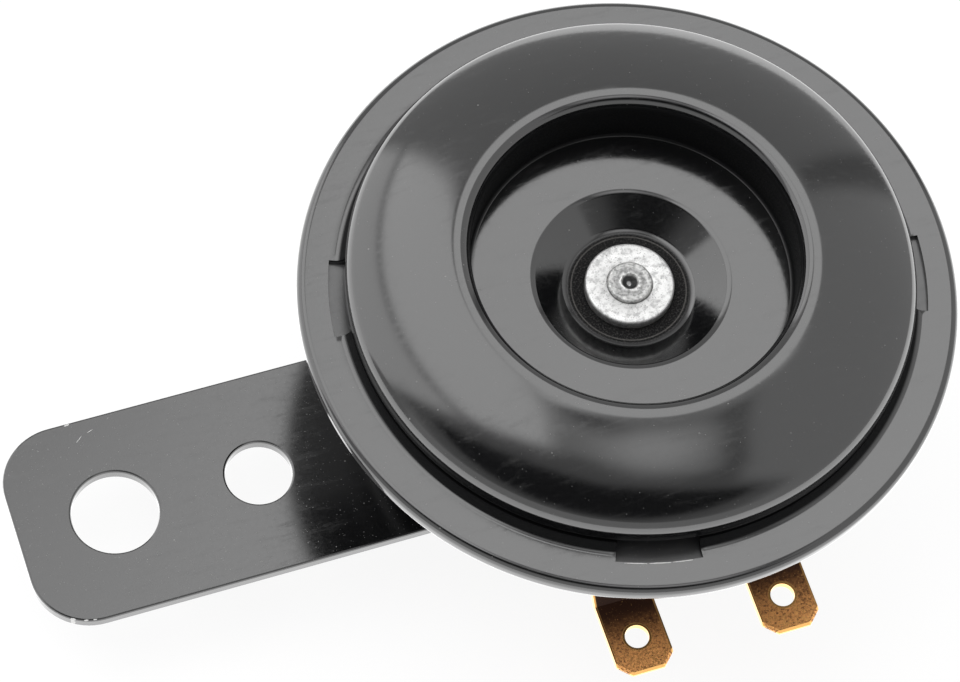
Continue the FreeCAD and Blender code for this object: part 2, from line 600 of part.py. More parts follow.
def make_vibrating_parts():
    """What is fastened to the armature's stem, and the diaphragm that carries it."""
    turned("tone_spacer", ring_section(STEM_HOLE, "spacer_radius", CENTRE_TOP, TONE_UNDER))
    washer = turned("tone_washer", ring_section(STEM_HOLE, "tone_washer_radius", SEAT, WASHER_TOP))
    dress(washer, "Chamfer", "washer_edge", round_at([("tone_washer_radius", WASHER_TOP)]),
          "tone_washer_edge")
    armature = turned("armature", [
        Corner("0", ARMATURE_UNDER), Corner("armature_radius", ARMATURE_UNDER),
        Corner("armature_radius", CENTRE_UNDER), Corner("stem_radius", CENTRE_UNDER),
        Corner("stem_radius", STEM_TOP), Corner("dimple_radius", STEM_TOP),
        Corner("0", f"{STEM_TOP} - dimple_depth")])
    dress(armature, "Fillet", "peened_edge", round_at([("stem_radius", STEM_TOP)]), "peen_round")
    dress(armature, "Chamfer", "armature_edges",
          round_at([("armature_radius", ARMATURE_UNDER), ("armature_radius", CENTRE_UNDER)]), "armature_edge")
    foot = "bead_width / 2"
    top = "bead_width / 4"
    crown = f"({DIAPHRAGM_TOP} + bead_height)"
    faces = [Step(STEM_HOLE, CENTRE_TOP), Step("diaphragm_flat", CENTRE_TOP),
             Step("(diaphragm_flat + diaphragm_slope)", DIAPHRAGM_TOP),
             Step(f"{BEAD_RADIUS} - {foot}", DIAPHRAGM_TOP), Step(f"{BEAD_RADIUS} - {top}", crown),
             Step(f"{BEAD_RADIUS} + {top}", crown), Step(f"{BEAD_RADIUS} + {foot}", DIAPHRAGM_TOP),
             Step(CUP_RIM_RADIUS, DIAPHRAGM_TOP)]
    turned("diaphragm", pressed(faces, "diaphragm_sheet")[0])
    turned("gasket", ring_section(f"{CUP_RIM_RADIUS} - gasket_width", CUP_RIM_RADIUS,
                                  CUP_RIM, DIAPHRAGM_UNDER))


def make_magnet():
    """The core with its rear stud, and the coil wound on its bobbin."""
    core = turned("pole_core", [
        Corner("0", STUD_END), Corner("stud_radius", STUD_END), Corner("stud_radius", BACK_INSIDE),
        Corner("core_radius", BACK_INSIDE), Corner("core_radius", CORE_TOP), Corner("0", CORE_TOP)])
    dress(core, "Chamfer", "stud_lead_in", round_at([("stud_radius", STUD_END)]), "nut_chamfer")
    low = f"({BACK_INSIDE} + bobbin_wall)"
    high = f"({BOBBIN_TOP} - bobbin_wall)"
    turned("coil_bobbin", [
        Corner(BOBBIN_BORE, BACK_INSIDE), Corner(BOBBIN_RADIUS, BACK_INSIDE), Corner(BOBBIN_RADIUS, low),
        Corner(BOBBIN_TUBE, low), Corner(BOBBIN_TUBE, high), Corner(BOBBIN_RADIUS, high),
        Corner(BOBBIN_RADIUS, BOBBIN_TOP), Corner(BOBBIN_BORE, BOBBIN_TOP)])
    turned("coil_winding", ring_section(BOBBIN_TUBE, WINDING_RADIUS, low, high))


def rivet_section(shank, head, height, low, high):
    """Half of a rivet with a flat head at both ends of the stack that it holds."""
    return [Corner("0", f"{low} - {height}"), Corner(head, f"{low} - {height}"), Corner(head, low),
            Corner(shank, low), Corner(shank, high), Corner(head, high), Corner(head, f"{high} + {height}"),
            Corner("0", f"{high} + {height}")]


def make_terminal(label, side):
    """One spade terminal: riveted root, step down and chamfered tab with a hole, a strip along Y."""
    faces = [Step(f"-{TERMINAL_ROOT}", TERMINAL_TOP), Step(f"-{TERMINAL_BEND}", TERMINAL_TOP),
             Step(f"-({TERMINAL_BEND} + terminal_step)", f"{TERMINAL_TOP} - terminal_drop"),
             Step(f"-{TERMINAL_TIP}", f"{TERMINAL_TOP} - terminal_drop")]
    body = new_body(label, at=(f"{side}terminal_offset", "0", "0"))
    strip = body.newObject("PartDesign::Pad", f"{label}_strip")
    strip.Profile = outline(body, f"{label}_side", pressed(faces, "-terminal_sheet")[0], plane="YZ_Plane")
    strip.SideType = "Symmetric"
    strip.setExpression("Length", bound("terminal_width"))
    doc.recompute()
    half = "terminal_width / 2"
    tip = f"-{TERMINAL_TIP}"
    dress(body, "Chamfer", f"{label}_corners", upright_at([(half, tip), (f"-{half}", tip)]),
          "terminal_chamfer")
    dress(body, "Chamfer", f"{label}_bevel", level_beyond(f"{TERMINAL_TIP} - terminal_chamfer"),
          "terminal_bevel")
    drill(body, f"{label}_holes", [("0", f"{tip} + terminal_hole_inset", "terminal_hole"),
                                   ("0", f"-{TERMINAL_ROW}", RIVET_HOLE)])


def make_terminals():
    """Two spade terminals riveted under the shoulder, between insulators, with solder tags inside."""
    holes = [(f"{side}terminal_offset", f"-{TERMINAL_ROW}", RIVET_HOLE) for side in ("", "-")]
    sheets = (("outer_insulator", "insulator_length / 2", TERMINAL_BEND, TERMINAL_TOP),
              ("inner_insulator", "inner_insulator_length / 2",
               f"({TERMINAL_ROW} + inner_insulator_front)", SHOULDER_INSIDE))
    for label, half, far, low in sheets:
        sheet_body = plate(label, rectangle(f"-{half}", f"-{far}", half, f"-{INSULATOR_NEAR}"),
                           low, "insulator_sheet")
        drill(sheet_body, f"{label}_holes", holes)
    for hand, side in (("left", "-"), ("right", "")):
        make_terminal(f"terminal_{hand}", side)
        tag = plate(f"tag_{hand}",
                    rectangle(f"{side}(terminal_offset + tag_short)", f"-({TERMINAL_ROW} + tag_width / 2)",
                              f"{side}(terminal_offset - tag_long)", f"-({TERMINAL_ROW} - tag_width / 2)"),
                    INNER_INSULATOR_TOP, "tag_sheet")
        drill(tag, f"tag_{hand}_hole", [(f"{side}terminal_offset", f"-{TERMINAL_ROW}", RIVET_HOLE)])
    section = rivet_section("rivet_radius", "rivet_head_radius", "rivet_head_height", TERMINAL_UNDER, TAG_TOP)
    rivet = turned("terminal_rivets", section, at=("-terminal_offset", f"-{TERMINAL_ROW}", "0"))
    repeat(rivet, rivet.Tip, "X_Axis", "2 * terminal_offset")


def nose(end, side, other):
    """A plate over the contact block, with a nose that reaches in to end and a solder tail on one side."""
    inner = f"({CONTACT_RIVET_ROW} - tail_width / 2)"
    outer = f"({CONTACT_RIVET_ROW} + tail_width / 2)"
    tail = f"{side}(block_length / 2 + tail_length)"
    return [Corner(end, f"{other}arm_width / 2"), Corner(BLOCK_NEAR, f"{other}arm_width / 2"),
            Corner(BLOCK_NEAR, f"{other}block_length / 2"), Corner(BLOCK_FAR, f"{other}block_length / 2"),
            Corner(BLOCK_FAR, f"{side}block_length / 2"), Corner(outer, f"{side}block_length / 2"),
            Corner(outer, tail), Corner(inner, tail), Corner(inner, f"{side}block_length / 2"),
            Corner(BLOCK_NEAR, f"{side}block_length / 2"), Corner(BLOCK_NEAR, f"{side}arm_width / 2"),
            Corner(end, f"{side}arm_width / 2")]


def make_breaker():
    """The contact breaker under the armature's edge, and the screw that sets it from behind."""
    foot = rectangle(BLOCK_NEAR, "-block_length / 2", BLOCK_FAR, "block_length / 2")
    fixed_arm = nose(f"{CONTACT_ROW} - contact_radius - arm_margin", "-", "")
    leaf = nose("armature_radius - leaf_lap", "", "-")
    layers = [("contact_block", foot, SHOULDER_INSIDE, f"{BLOCK_TOP} - {SHOULDER_INSIDE}", "hole_clearance"),
              ("fixed_contact_arm", fixed_arm, BLOCK_TOP, "fixed_arm_sheet", "arm_insulation"),
              ("contact_insulator", foot, FIXED_ARM_TOP, "contact_gap", "hole_clearance"),
              ("contact_leaf", leaf, LEAF_UNDER, "leaf_sheet", "hole_clearance"),
              ("contact_clamp", foot, LEAF_TOP, "clamp_sheet", "hole_clearance")]
    for label, corners, low, thickness, room in layers:
        body = plate(label, corners, low, thickness)
        drill(body, f"{label}_holes", [(CONTACT_RIVET_ROW, f"{side}contact_rivet_offset",
                                        f"contact_rivet_radius + {room}") for side in ("", "-")])
    section = rivet_section("contact_rivet_radius", "contact_head_radius", "contact_head_height",
                            SHOULDER, CLAMP_TOP)
    rivet = turned("contact_rivets", section, at=(CONTACT_RIVET_ROW, "-contact_rivet_offset", "0"))
    repeat(rivet, rivet.Tip, "Y_Axis", "2 * contact_rivet_offset")
    middle = f"({FIXED_ARM_TOP} + contact_gap / 2)"
    points = (("fixed_contact", FIXED_ARM_TOP, middle), ("moving_contact", middle, LEAF_UNDER))
    for label, low, high in points:
        turned(label, ring_section("0", "contact_radius", low, high), at=(CONTACT_ROW, "0", "0"))
    end = f"({SHOULDER} - adjuster_tail)"
    screw = turned("adjusting_screw", ring_section("0", "adjuster_radius", end, BLOCK_TOP),
                   at=(ADJUSTER_ROW, "0", "0"))
    slot = screw.newObject("PartDesign::Pocket", "driver_slot")
    slot.Profile = outline(screw, "slot_outline",
                           rectangle("-adjuster_slot_width / 2", f"{end} - adjuster_slot_depth",
                                     "adjuster_slot_width / 2", f"{end} + adjuster_slot_depth"))
    slot.Type = "ThroughAll"
    slot.SideType = "Symmetric"
    doc.recompute()


def make_lead(label, start, end):
    """A wire that rises from one seat, crosses over and drops to the other, each given as x, y and level."""
    across = f"({end[0]} - ({start[0]}))"
    along = f"({end[1]} - ({start[1]}))"
    body = new_body(label, turn=f"atan2({along}; {across})", at=(start[0], start[1], "0"))
    reach = f"sqrt({across} ^ 2 + {along} ^ 2)"
    bend_low = f"({LEAD_TOP} - lead_bend)"
    path = [Corner("0", start[2]), Corner("0", bend_low, "lead_bend", -1), Corner("lead_bend", LEAD_TOP),
            Corner(f"{reach} - lead_bend", LEAD_TOP, "lead_bend", -1), Corner(reach, bend_low),
            Corner(reach, end[2])]
    pipe = body.newObject("PartDesign::AdditivePipe", f"{label}_wire")
    pipe.Profile = circles(body, f"{label}_round", [("0", "0", "lead_radius")], start[2])
    pipe.Spine = outline(body, f"{label}_path", path, closed=False)
    doc.recompute()


def make_leads():
    """The wires: left tag to coil, coil to leaf, and fixed arm to right tag."""
    tag = "(terminal_offset - tag_long + solder_inset)"
    tail = "(block_length / 2 + tail_length - solder_inset)"
    coil = f"sqrt({LEAD_FOOT} ^ 2 - {tail} ^ 2)"
    runs = (("lead_left", (f"-{tag}", f"-{LEAD_FOOT}", BOBBIN_TOP), (f"-{tag}", f"-{TERMINAL_ROW}", TAG_TOP)),
            ("lead_right", (tag, f"-{TERMINAL_ROW}", TAG_TOP),
             (CONTACT_RIVET_ROW, f"-{tail}", FIXED_ARM_TOP)),
            ("lead_coil", (CONTACT_RIVET_ROW, tail, LEAF_TOP), (coil, tail, BOBBIN_TOP)))
    for label, start, end in runs:
        make_lead(label, start, end)


def write_parts():
    """Checks every object and every sub-part, then writes one STEP file for each sub-part."""
    doc.recompute()
    faults = [item.Label for item in doc.Objects if set(item.State) & {"Invalid", "Error"}]
    bodies = [item for item in doc.Objects if item.isDerivedFrom("PartDesign::Body")]
    faults += [body.Label for body in bodies if body.Shape.isNull() or not body.Shape.isValid()]
    if faults:
        raise RuntimeError(f"failed objects: {faults}")
    os.makedirs("parts", exist_ok=True)
    for body in bodies:
        body.Shape.exportStep(f"parts/{body.Label}.step")
        print(f"{body.Label}: {len(body.Shape.Solids)} solid, {body.Shape.Volume:.1f} cubic mm")


make_bracket()
make_fixings()
make_housing()
make_front_ring()
make_tone_disc()
make_vibrating_parts()
make_magnet()
make_terminals()
make_breaker()
make_leads()
write_parts()
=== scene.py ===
"""Looks of a disc horn with its mounting bracket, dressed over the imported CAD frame.

The frame's +Z is the front of the horn. Its X axis runs from the bracket's fixing hole to the horn's own
axis. Sizes in the classes below are in millimetres, and every mesh is written in metres.
"""

from __future__ import annotations

import json
import logging
import math
from dataclasses import dataclass
from enum import Enum
from functools import reduce
from typing import Callable, Iterable, Mapping, Sequence

import bmesh
import bpy
from mathutils import Matrix, Vector

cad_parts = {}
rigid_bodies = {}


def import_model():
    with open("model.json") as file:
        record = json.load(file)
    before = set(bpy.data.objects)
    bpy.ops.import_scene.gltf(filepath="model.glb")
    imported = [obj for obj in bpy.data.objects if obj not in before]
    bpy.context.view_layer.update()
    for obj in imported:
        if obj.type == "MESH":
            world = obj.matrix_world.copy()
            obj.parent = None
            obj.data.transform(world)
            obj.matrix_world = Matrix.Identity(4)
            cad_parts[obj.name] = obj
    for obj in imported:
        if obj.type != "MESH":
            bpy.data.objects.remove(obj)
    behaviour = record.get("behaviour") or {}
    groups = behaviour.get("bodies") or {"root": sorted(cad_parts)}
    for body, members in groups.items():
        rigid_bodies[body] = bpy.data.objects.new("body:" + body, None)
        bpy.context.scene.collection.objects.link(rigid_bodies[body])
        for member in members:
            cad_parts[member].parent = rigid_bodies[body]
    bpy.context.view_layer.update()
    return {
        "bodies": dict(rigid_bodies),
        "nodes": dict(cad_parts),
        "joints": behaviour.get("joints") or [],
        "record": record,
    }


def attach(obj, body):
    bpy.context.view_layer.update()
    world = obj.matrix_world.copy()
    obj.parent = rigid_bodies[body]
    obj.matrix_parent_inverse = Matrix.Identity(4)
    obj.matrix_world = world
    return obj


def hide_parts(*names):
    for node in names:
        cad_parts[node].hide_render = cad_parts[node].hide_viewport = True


LOG = logging.getLogger("horn")
MM = 0.001
MERGE_DISTANCE = 1e-7
TINY = 1e-6
FULL_TURN = 360.0
AXIS_X = 56.4
TAB_OFFSET = 8.25

Colour = tuple[float, float, float]
Operand = "Socket | float"

WHITE: Colour = (1.0, 1.0, 1.0)


class Body(Enum):
    """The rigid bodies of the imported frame."""

    ROOT = "root"
    TONE = "tone_assembly"


@dataclass(frozen=True)
class Grain:
    """A pattern of smooth noise.

    Attributes:
        scale: features a millimetre.
        detail: octaves.
        roughness: how much of each finer octave.
    """

    scale: float
    detail: float = 2.0
    roughness: float = 0.5


PAINT_FILM = Grain(0.12, 3.0)
PAINT_SMEARS = Grain(1.0, 4.0, 0.6)
PAINT_HAZE = Grain(2.5, 4.0, 0.6)
PAINT_CRUMBS = Grain(5.0, 4.0, 0.7)
ORANGE_PEEL = Grain(0.55, 1.0)
RAGGED_EDGE = Grain(3.0, 3.0, 0.6)
RAGGED_DEPTH = 0.9
ZINC_PATCHES = Grain(1.6, 5.0, 0.65)
ZINC_PITS = Grain(6.0, 3.0, 0.6)
STEEL_STAIN = Grain(0.5, 4.0, 0.6)
STEEL_MARKS = Grain(7.0, 3.0, 0.6)
HAMMER_BLOWS = Grain(3.2, 5.0, 0.7)
HAMMER_PITS = Grain(9.0)
HAMMER_WAVE = Grain(1.2)
BRASS_GRAIN = Grain(4.0, 5.0, 0.7)
BRASS_SPECKS = Grain(9.0, 3.0, 0.6)
BOARD_LAYERS = Grain(1.5, 4.0, 0.6)
BOARD_FIBRES = Grain(6.0, 3.0, 0.6)
PLASTIC_GRAIN = Grain(5.0, 3.0)
PLASTIC_CLOUD = Grain(0.3)
WIRE_CLOUD = Grain(0.8, 3.0)
WIRE_SKIN = Grain(4.0)
PAPER = Grain(0.05)


class Socket:
    """An output of a node, on which arithmetic adds Math nodes."""

    def __init__(self, maker: "NodeMaker", link: bpy.types.NodeSocket) -> None:
        """Wraps an output.

        Args:
            maker: the maker of the tree that the output is in.
            link: the output itself.
        """
        self.maker = maker
        self.link = link

    def _math(self, operation: str, *values: Operand) -> "Socket":
        """Adds a Math node.

        Args:
            operation: Blender's name of the operation.
            *values: its inputs in order.

        Returns:
            The node's output.
        """
        node = self.maker.node("ShaderNodeMath", {"operation": operation}, dict(enumerate(values)))
        return Socket(self.maker, node.outputs[0])

    def __add__(self, other: Operand) -> "Socket":
        """Sum."""
        return self._math("ADD", self, other)

    def __radd__(self, other: Operand) -> "Socket":
        """Sum with the number first."""
        return self._math("ADD", other, self)

    def __sub__(self, other: Operand) -> "Socket":
        """Difference."""
        return self._math("SUBTRACT", self, other)

    def __rsub__(self, other: Operand) -> "Socket":
        """Difference with the number first."""
        return self._math("SUBTRACT", other, self)

    def __mul__(self, other: Operand) -> "Socket":
        """Product."""
        return self._math("MULTIPLY", self, other)

    def __rmul__(self, other: Operand) -> "Socket":
        """Product with the number first."""
        return self._math("MULTIPLY", other, self)

    def __truediv__(self, other: Operand) -> "Socket":
        """Quotient."""
        return self._math("DIVIDE", self, other)

    def __rtruediv__(self, other: Operand) -> "Socket":
        """Quotient with the number first."""
        return self._math("DIVIDE", other, self)

    def __neg__(self) -> "Socket":
        """Negative."""
        return self._math("MULTIPLY", self, -1.0)

    def __abs__(self) -> "Socket":
        """Absolute value."""
        return self._math("ABSOLUTE", self)

    def larger(self, other: Operand) -> "Socket":
        """The larger of two values."""
        return self._math("MAXIMUM", self, other)

    def smaller(self, other: Operand) -> "Socket":
        """The smaller of two values."""
        return self._math("MINIMUM", self, other)

    def root(self) -> "Socket":
        """Square root."""
        return self._math("SQRT", self)

    def sine(self) -> "Socket":
        """Sine of an angle in radians."""
        return self._math("SINE", self)

    def arccosine(self) -> "Socket":
        """Angle in radians whose cosine this is."""
        return self._math("ARCCOSINE", self)

    def ramp(self, low: float, high: float, start: float = 0.0, end: float = 1.0) -> "Socket":
        """Maps low to high onto start to end with a soft shoulder at each end.

        Args:
            low: the value that gives start.
            high: the value that gives end.
            start: the result up to low.
            end: the result from high.

        Returns:
            The mapped value.
        """
        node = self.maker.node(
            "ShaderNodeMapRange", {"interpolation_type": "SMOOTHSTEP"},
            {"Value": self, "From Min": low, "From Max": high, "To Min": start, "To Max": end})
        return Socket(self.maker, node.outputs["Result"])

    def under(self, edge: float, soft: float) -> "Socket":
        """One where the value is below the edge, falling to nothing above it over the soft width."""
        return self.ramp(edge - soft, edge + soft, 1.0, 0.0)

    def over(self, edge: float, soft: float) -> "Socket":
        """One where the value is above the edge, falling to nothing below it over the soft width."""
        return self.ramp(edge - soft, edge + soft, 0.0, 1.0)


class NodeMaker:
    """Adds nodes to one node tree and links them."""

    def __init__(self, tree: bpy.types.NodeTree) -> None:
        """Empties a tree.

        Args:
            tree: the tree of a material or of the world.
        """
        tree.nodes.clear()
        self.tree = tree
        self._place: Socket | None = None

    def node(self, kind: str, settings: Mapping[str, object] | None = None,
             inputs: Mapping[str | int, object] | None = None) -> bpy.types.Node:
        """Adds one node.

        Args:
            kind: Blender's type of the node.
            settings: its properties, set before its sockets.
            inputs: values or links by a socket's name, or its index.

        Returns:
            The node.
        """
        node = self.tree.nodes.new(kind)
        for key, setting in (settings or {}).items():
            setattr(node, key, setting)
        for key, given in (inputs or {}).items():
            socket = self._pick(node.inputs, key)
            if isinstance(given, Socket):
                self.tree.links.new(given.link, socket)
            elif isinstance(given, bpy.types.NodeSocket):
                self.tree.links.new(given, socket)
            elif socket.type == "RGBA":
                socket.default_value = (*given, 1.0)
            else:
                socket.default_value = given
        return node

    @staticmethod
    def _pick(sockets: bpy.types.bpy_prop_collection, key: str | int) -> bpy.types.NodeSocket:
        """Finds a socket that is in use.

        Args:
            sockets: a node's inputs or its outputs.
            key: the socket's name or index.

        Returns:
            The socket.

        Raises:
            KeyError: no socket in use has that name.
        """
        if isinstance(key, int):
            return sockets[key]
        for socket in sockets:
            if socket.name == key and socket.enabled:
                return socket
        raise KeyError(key)

    def place(self) -> "Socket":
        """Finds the point on the piece, once for each tree.

        Returns:
            The point as a vector in millimetres, in the part's frame.
        """
        if self._place is None:
            coordinate = self.node("ShaderNodeTexCoord")
            scaled = self.node("ShaderNodeVectorMath", {"operation": "SCALE"},
                               {"Vector": coordinate.outputs["Object"], "Scale": 1.0 / MM})
            self._place = Socket(self, scaled.outputs["Vector"])
        return self._place

    def split(self, vector: "Socket") -> tuple["Socket", "Socket", "Socket"]:
        """The three numbers of a vector."""
        node = self.node("ShaderNodeSeparateXYZ", {}, {"Vector": vector})
        return tuple(Socket(self, output) for output in node.outputs)

    def join(self, x: Operand, y: Operand, z: Operand) -> "Socket":
        """A vector of three numbers."""
        node = self.node("ShaderNodeCombineXYZ", {}, {"X": x, "Y": y, "Z": z})
        return Socket(self, node.outputs["Vector"])

    def noise(self, grain: Grain, at: "Socket | None" = None) -> "Socket":
        """Smooth noise from 0 to 1.

        Args:
            grain: its pattern.
            at: the point to read it at, where it isn't the piece's own.

        Returns:
            The value.
        """
        node = self.node("ShaderNodeTexNoise", {"noise_dimensions": "3D"},
                         {"Vector": at or self.place(), "Scale": grain.scale, "Detail": grain.detail,
                          "Roughness": grain.roughness})
        return Socket(self, node.outputs[0])

    def specks(self, spacing: float, size: float, share: float) -> "Socket":
        """Scattered round grains of different sizes.

        Args:
            spacing: millimetres between the places where a grain can be.
            size: radius of a common grain in millimetres.
            share: the part of the places that hold one.

        Returns:
            One on a grain and nothing elsewhere.
        """
        node = self.node("ShaderNodeTexVoronoi", {"voronoi_dimensions": "3D", "feature": "F1"},
                         {"Vector": self.place(), "Scale": 1.0 / spacing})
        chance, width, _ = self.split(Socket(self, node.outputs["Color"]))
        distance = Socket(self, node.outputs["Distance"]) * spacing
        varied = width * 0.8 + 0.5
        near = (distance / varied).under(size, size * 0.35)
        return near * chance.under(share, 0.005)

    def mix(self, factor: Operand, low: object, high: object) -> "Socket":
        """A colour between two.

        Args:
            factor: nothing for the first and one for the second.
            low: a colour or a colour's output.
            high: a colour or a colour's output.

        Returns:
            The mixed colour.
        """
        node = self.node("ShaderNodeMix", {"data_type": "RGBA"}, {"Factor": factor, "A": low, "B": high})
        return Socket(self, self._pick(node.outputs, "Result"))

    def blend(self, factor: Operand, low: Operand, high: Operand) -> "Socket":
        """A number between two, as mix is for colours."""
        node = self.node("ShaderNodeMix", {"data_type": "FLOAT"}, {"Factor": factor, "A": low, "B": high})
        return Socket(self, self._pick(node.outputs, "Result"))

    def bump(self, height: "Socket", depth: float, normal: "Socket | None" = None) -> "Socket":
        """A surface relief.

        Args:
            height: its height from 0 to 1.
            depth: what 1 stands for, in millimetres.
            normal: another relief that this one lies on.

        Returns:
            The normal for a shader.
        """
        inputs: dict[str | int, object] = {"Height": height, "Distance": depth * MM, "Strength": 1.0}
        if normal is not None:
            inputs["Normal"] = normal
        return Socket(self, self.node("ShaderNodeBump", {}, inputs).outputs["Normal"])

    def radius(self, x: float = AXIS_X, y: float = 0.0) -> "Socket":
        """Distance in millimetres from an upright line through a point of the bracket's plane."""
        east, north, _ = self.split(self.place())
        return ((east - x) * (east - x) + (north - y) * (north - y)).root()

    def shader(self, **sockets: object) -> bpy.types.Node:
        """Adds a Principled shader.

        Args:
            **sockets: its inputs, with underscores for the spaces in their names.

        Returns:
            The shader.
        """
        inputs = {key.replace("_", " "): given for key, given in sockets.items()}
        return self.node("ShaderNodeBsdfPrincipled", {}, inputs)

    def surface(self, shader: bpy.types.Node, over: bpy.types.Node | None = None,
                factor: Operand = 0.0) -> None:
        """Adds the material's output.

        Args:
            shader: the shader that feeds it.
            over: a second shader that lies over the first.
            factor: where the second one shows.
        """
        if over is not None:
            shader = self.node("ShaderNodeMixShader", {},
                               {0: factor, 1: shader.outputs[0], 2: over.outputs[0]})
        self.node("ShaderNodeOutputMaterial", {}, {"Surface": shader.outputs[0]})


@dataclass(frozen=True)
class Mark:
    """A small spot of damage on a painted face.

    Attributes:
        x: its place in the part's frame, in millimetres.
        y: its place in the part's frame, in millimetres.
        length: half its length.
        width: half its width.
        turn: degrees from X to its length.
    """

    x: float
    y: float
    length: float
    width: float
    turn: float = 0.0

    def mask(self, maker: NodeMaker) -> Socket:
        """Shapes the mark, with a ragged edge.

        Args:
            maker: the maker of the material's tree.

        Returns:
            One on the mark and nothing elsewhere.
        """
        east, north, _ = maker.split(maker.place())
        cosine, sine = math.cos(math.radians(self.turn)), math.sin(math.radians(self.turn))
        along = ((east - self.x) * cosine + (north - self.y) * sine) / self.length
        across = ((north - self.y) * cosine - (east - self.x) * sine) / self.width
        ragged = maker.noise(RAGGED_EDGE) * RAGGED_DEPTH - RAGGED_DEPTH / 2
        return ((along * along + across * across).root() + ragged).under(0.9, 0.12)


@dataclass(frozen=True)
class Zone:
    """A ring round the horn's axis where the paint is thin and dull.

    Attributes:
        inner: its radius inside, in millimetres.
        outer: its radius outside.
        low: the height above which it lies.
        high: the height below which it lies.
        dust: how much dust lies in it, from 0 to 1.
    """

    inner: float
    outer: float
    low: float = 0.0
    high: float = 50.0
    dust: float = 0.0

    def mask(self, maker: NodeMaker) -> Socket:
        """Shapes the zone, with soft sides.

        Args:
            maker: the maker of the material's tree.

        Returns:
            One in the zone and nothing elsewhere.
        """
        _, _, height = maker.split(maker.place())
        radius = maker.radius()
        across = radius.over(self.inner, 0.35) * radius.under(self.outer, 0.3)
        return across * height.over(self.low, 0.1) * height.under(self.high, 0.3)


@dataclass(frozen=True)
class Finish:
    """What a surface is made of. Each kind below adds its own pattern.

    Attributes:
        name: the material's name.
        slot: the record's material slot.
        colour: the main colour.
    """

    name: str
    slot: str
    colour: Colour

    def material(self) -> bpy.types.Material:
        """Makes the finish's material, once.

        Returns:
            The material.
        """
        found = bpy.data.materials.get(self.name)
        if found:
            return found
        made = bpy.data.materials.new(self.name)
        made.use_nodes = True
        made.diffuse_color = (*self.colour, 1.0)
        self.lay(NodeMaker(made.node_tree))
        return made

    def shaded(self, share: float) -> Colour:
        """The main colour with a share of its light."""
        return tuple(share * part for part in self.colour)

    def lay(self, maker: NodeMaker) -> None:
        """Builds the nodes of the finish. Each kind does this in its own way.

        Args:
            maker: the maker of the material's tree.
        """
        raise NotImplementedError


@dataclass(frozen=True)
class BlackPaint(Finish):
    """Gloss black enamel on pressed steel.

    Attributes:
        gloss: roughness of the clean paint.
        dust: share of the places that hold a grain of dust.
        peel: depth of the paint's orange peel in millimetres.
        marks: chips and scratches.
        zones: where the paint is thin and dull.
        index: refractive index of the enamel.
        line: radius in millimetres of a pale ring in a dusty zone.
        grey: colour of dust and smears.
        steel: colour of the metal in a mark.
        soot: colour of the crumbs in a dusty zone.
    """

    gloss: float = 0.07
    dust: float = 0.05
    peel: float = 0.0016
    marks: tuple[Mark, ...] = ()
    zones: tuple[Zone, ...] = ()
    index: float = 1.8
    line: float = 6.1
    grey: Colour = (0.30, 0.30, 0.29)
    steel: Colour = (0.55, 0.55, 0.54)
    soot: Colour = (0.22, 0.21, 0.20)

    def lay(self, maker: NodeMaker) -> None:
        """Builds the nodes of the paint.

        Args:
            maker: the maker of the material's tree.
        """
        grains = maker.specks(0.55, 0.07, self.dust) * maker.noise(PAINT_FILM).ramp(0.35, 0.7)
        fine = maker.specks(0.3, 0.035, self.dust * 2.0)
        grit = (grains + fine * 0.6).smaller(1.0)
        east, north, height = maker.split(maker.place())
        wiped = maker.join(east * 0.22, north * 1.5, height)
        smears = maker.noise(PAINT_SMEARS, wiped).ramp(0.5, 0.75)
        colour = maker.mix(grit * 0.5, self.colour, self.grey)
        colour = maker.mix(smears * 0.008, colour, self.grey)
        rough = maker.noise(PAINT_HAZE).ramp(0.3, 0.8, self.gloss, self.gloss + 0.05) + grit * 0.4
        rough = rough + smears * 0.08
        for mark in self.marks:
            bare = mark.mask(maker)
            colour = maker.mix(bare, colour, self.steel)
            rough = rough + bare * 0.3
        normal = maker.bump(maker.noise(ORANGE_PEEL), self.peel)
        clean = maker.shader(Base_Color=colour, Roughness=rough, IOR=self.index, Normal=normal)
        if self.zones:
            maker.surface(clean, *self.thin(maker, normal))
        else:
            maker.surface(clean)

    def thin(self, maker: NodeMaker, normal: Socket) -> tuple[bpy.types.Node, Socket]:
        """Builds the nodes of the thin paint in the zones.

        Args:
            maker: the maker of the material's tree.
            normal: the relief of the clean paint.

        Returns:
            Its shader, and where that shows.
        """
        masks = [zone.mask(maker) for zone in self.zones]
        shown = reduce(Socket.larger, masks)
        dusty = reduce(Socket.larger, [mask * zone.dust for mask, zone in zip(masks, self.zones)])
        crumbs = maker.noise(PAINT_CRUMBS)
        line = abs(maker.radius() - self.line).under(0.06, 0.05)
        soot = (crumbs.ramp(0.45, 0.72) * 0.22 + line * 0.3) * dusty
        shader = maker.shader(
            Base_Color=maker.mix(soot, self.colour, self.soot), Roughness=crumbs.ramp(0.3, 0.7, 0.5, 0.75),
            Specular_IOR_Level=0.1, Normal=maker.bump(crumbs * dusty, 0.03, normal))
        return shader, shown


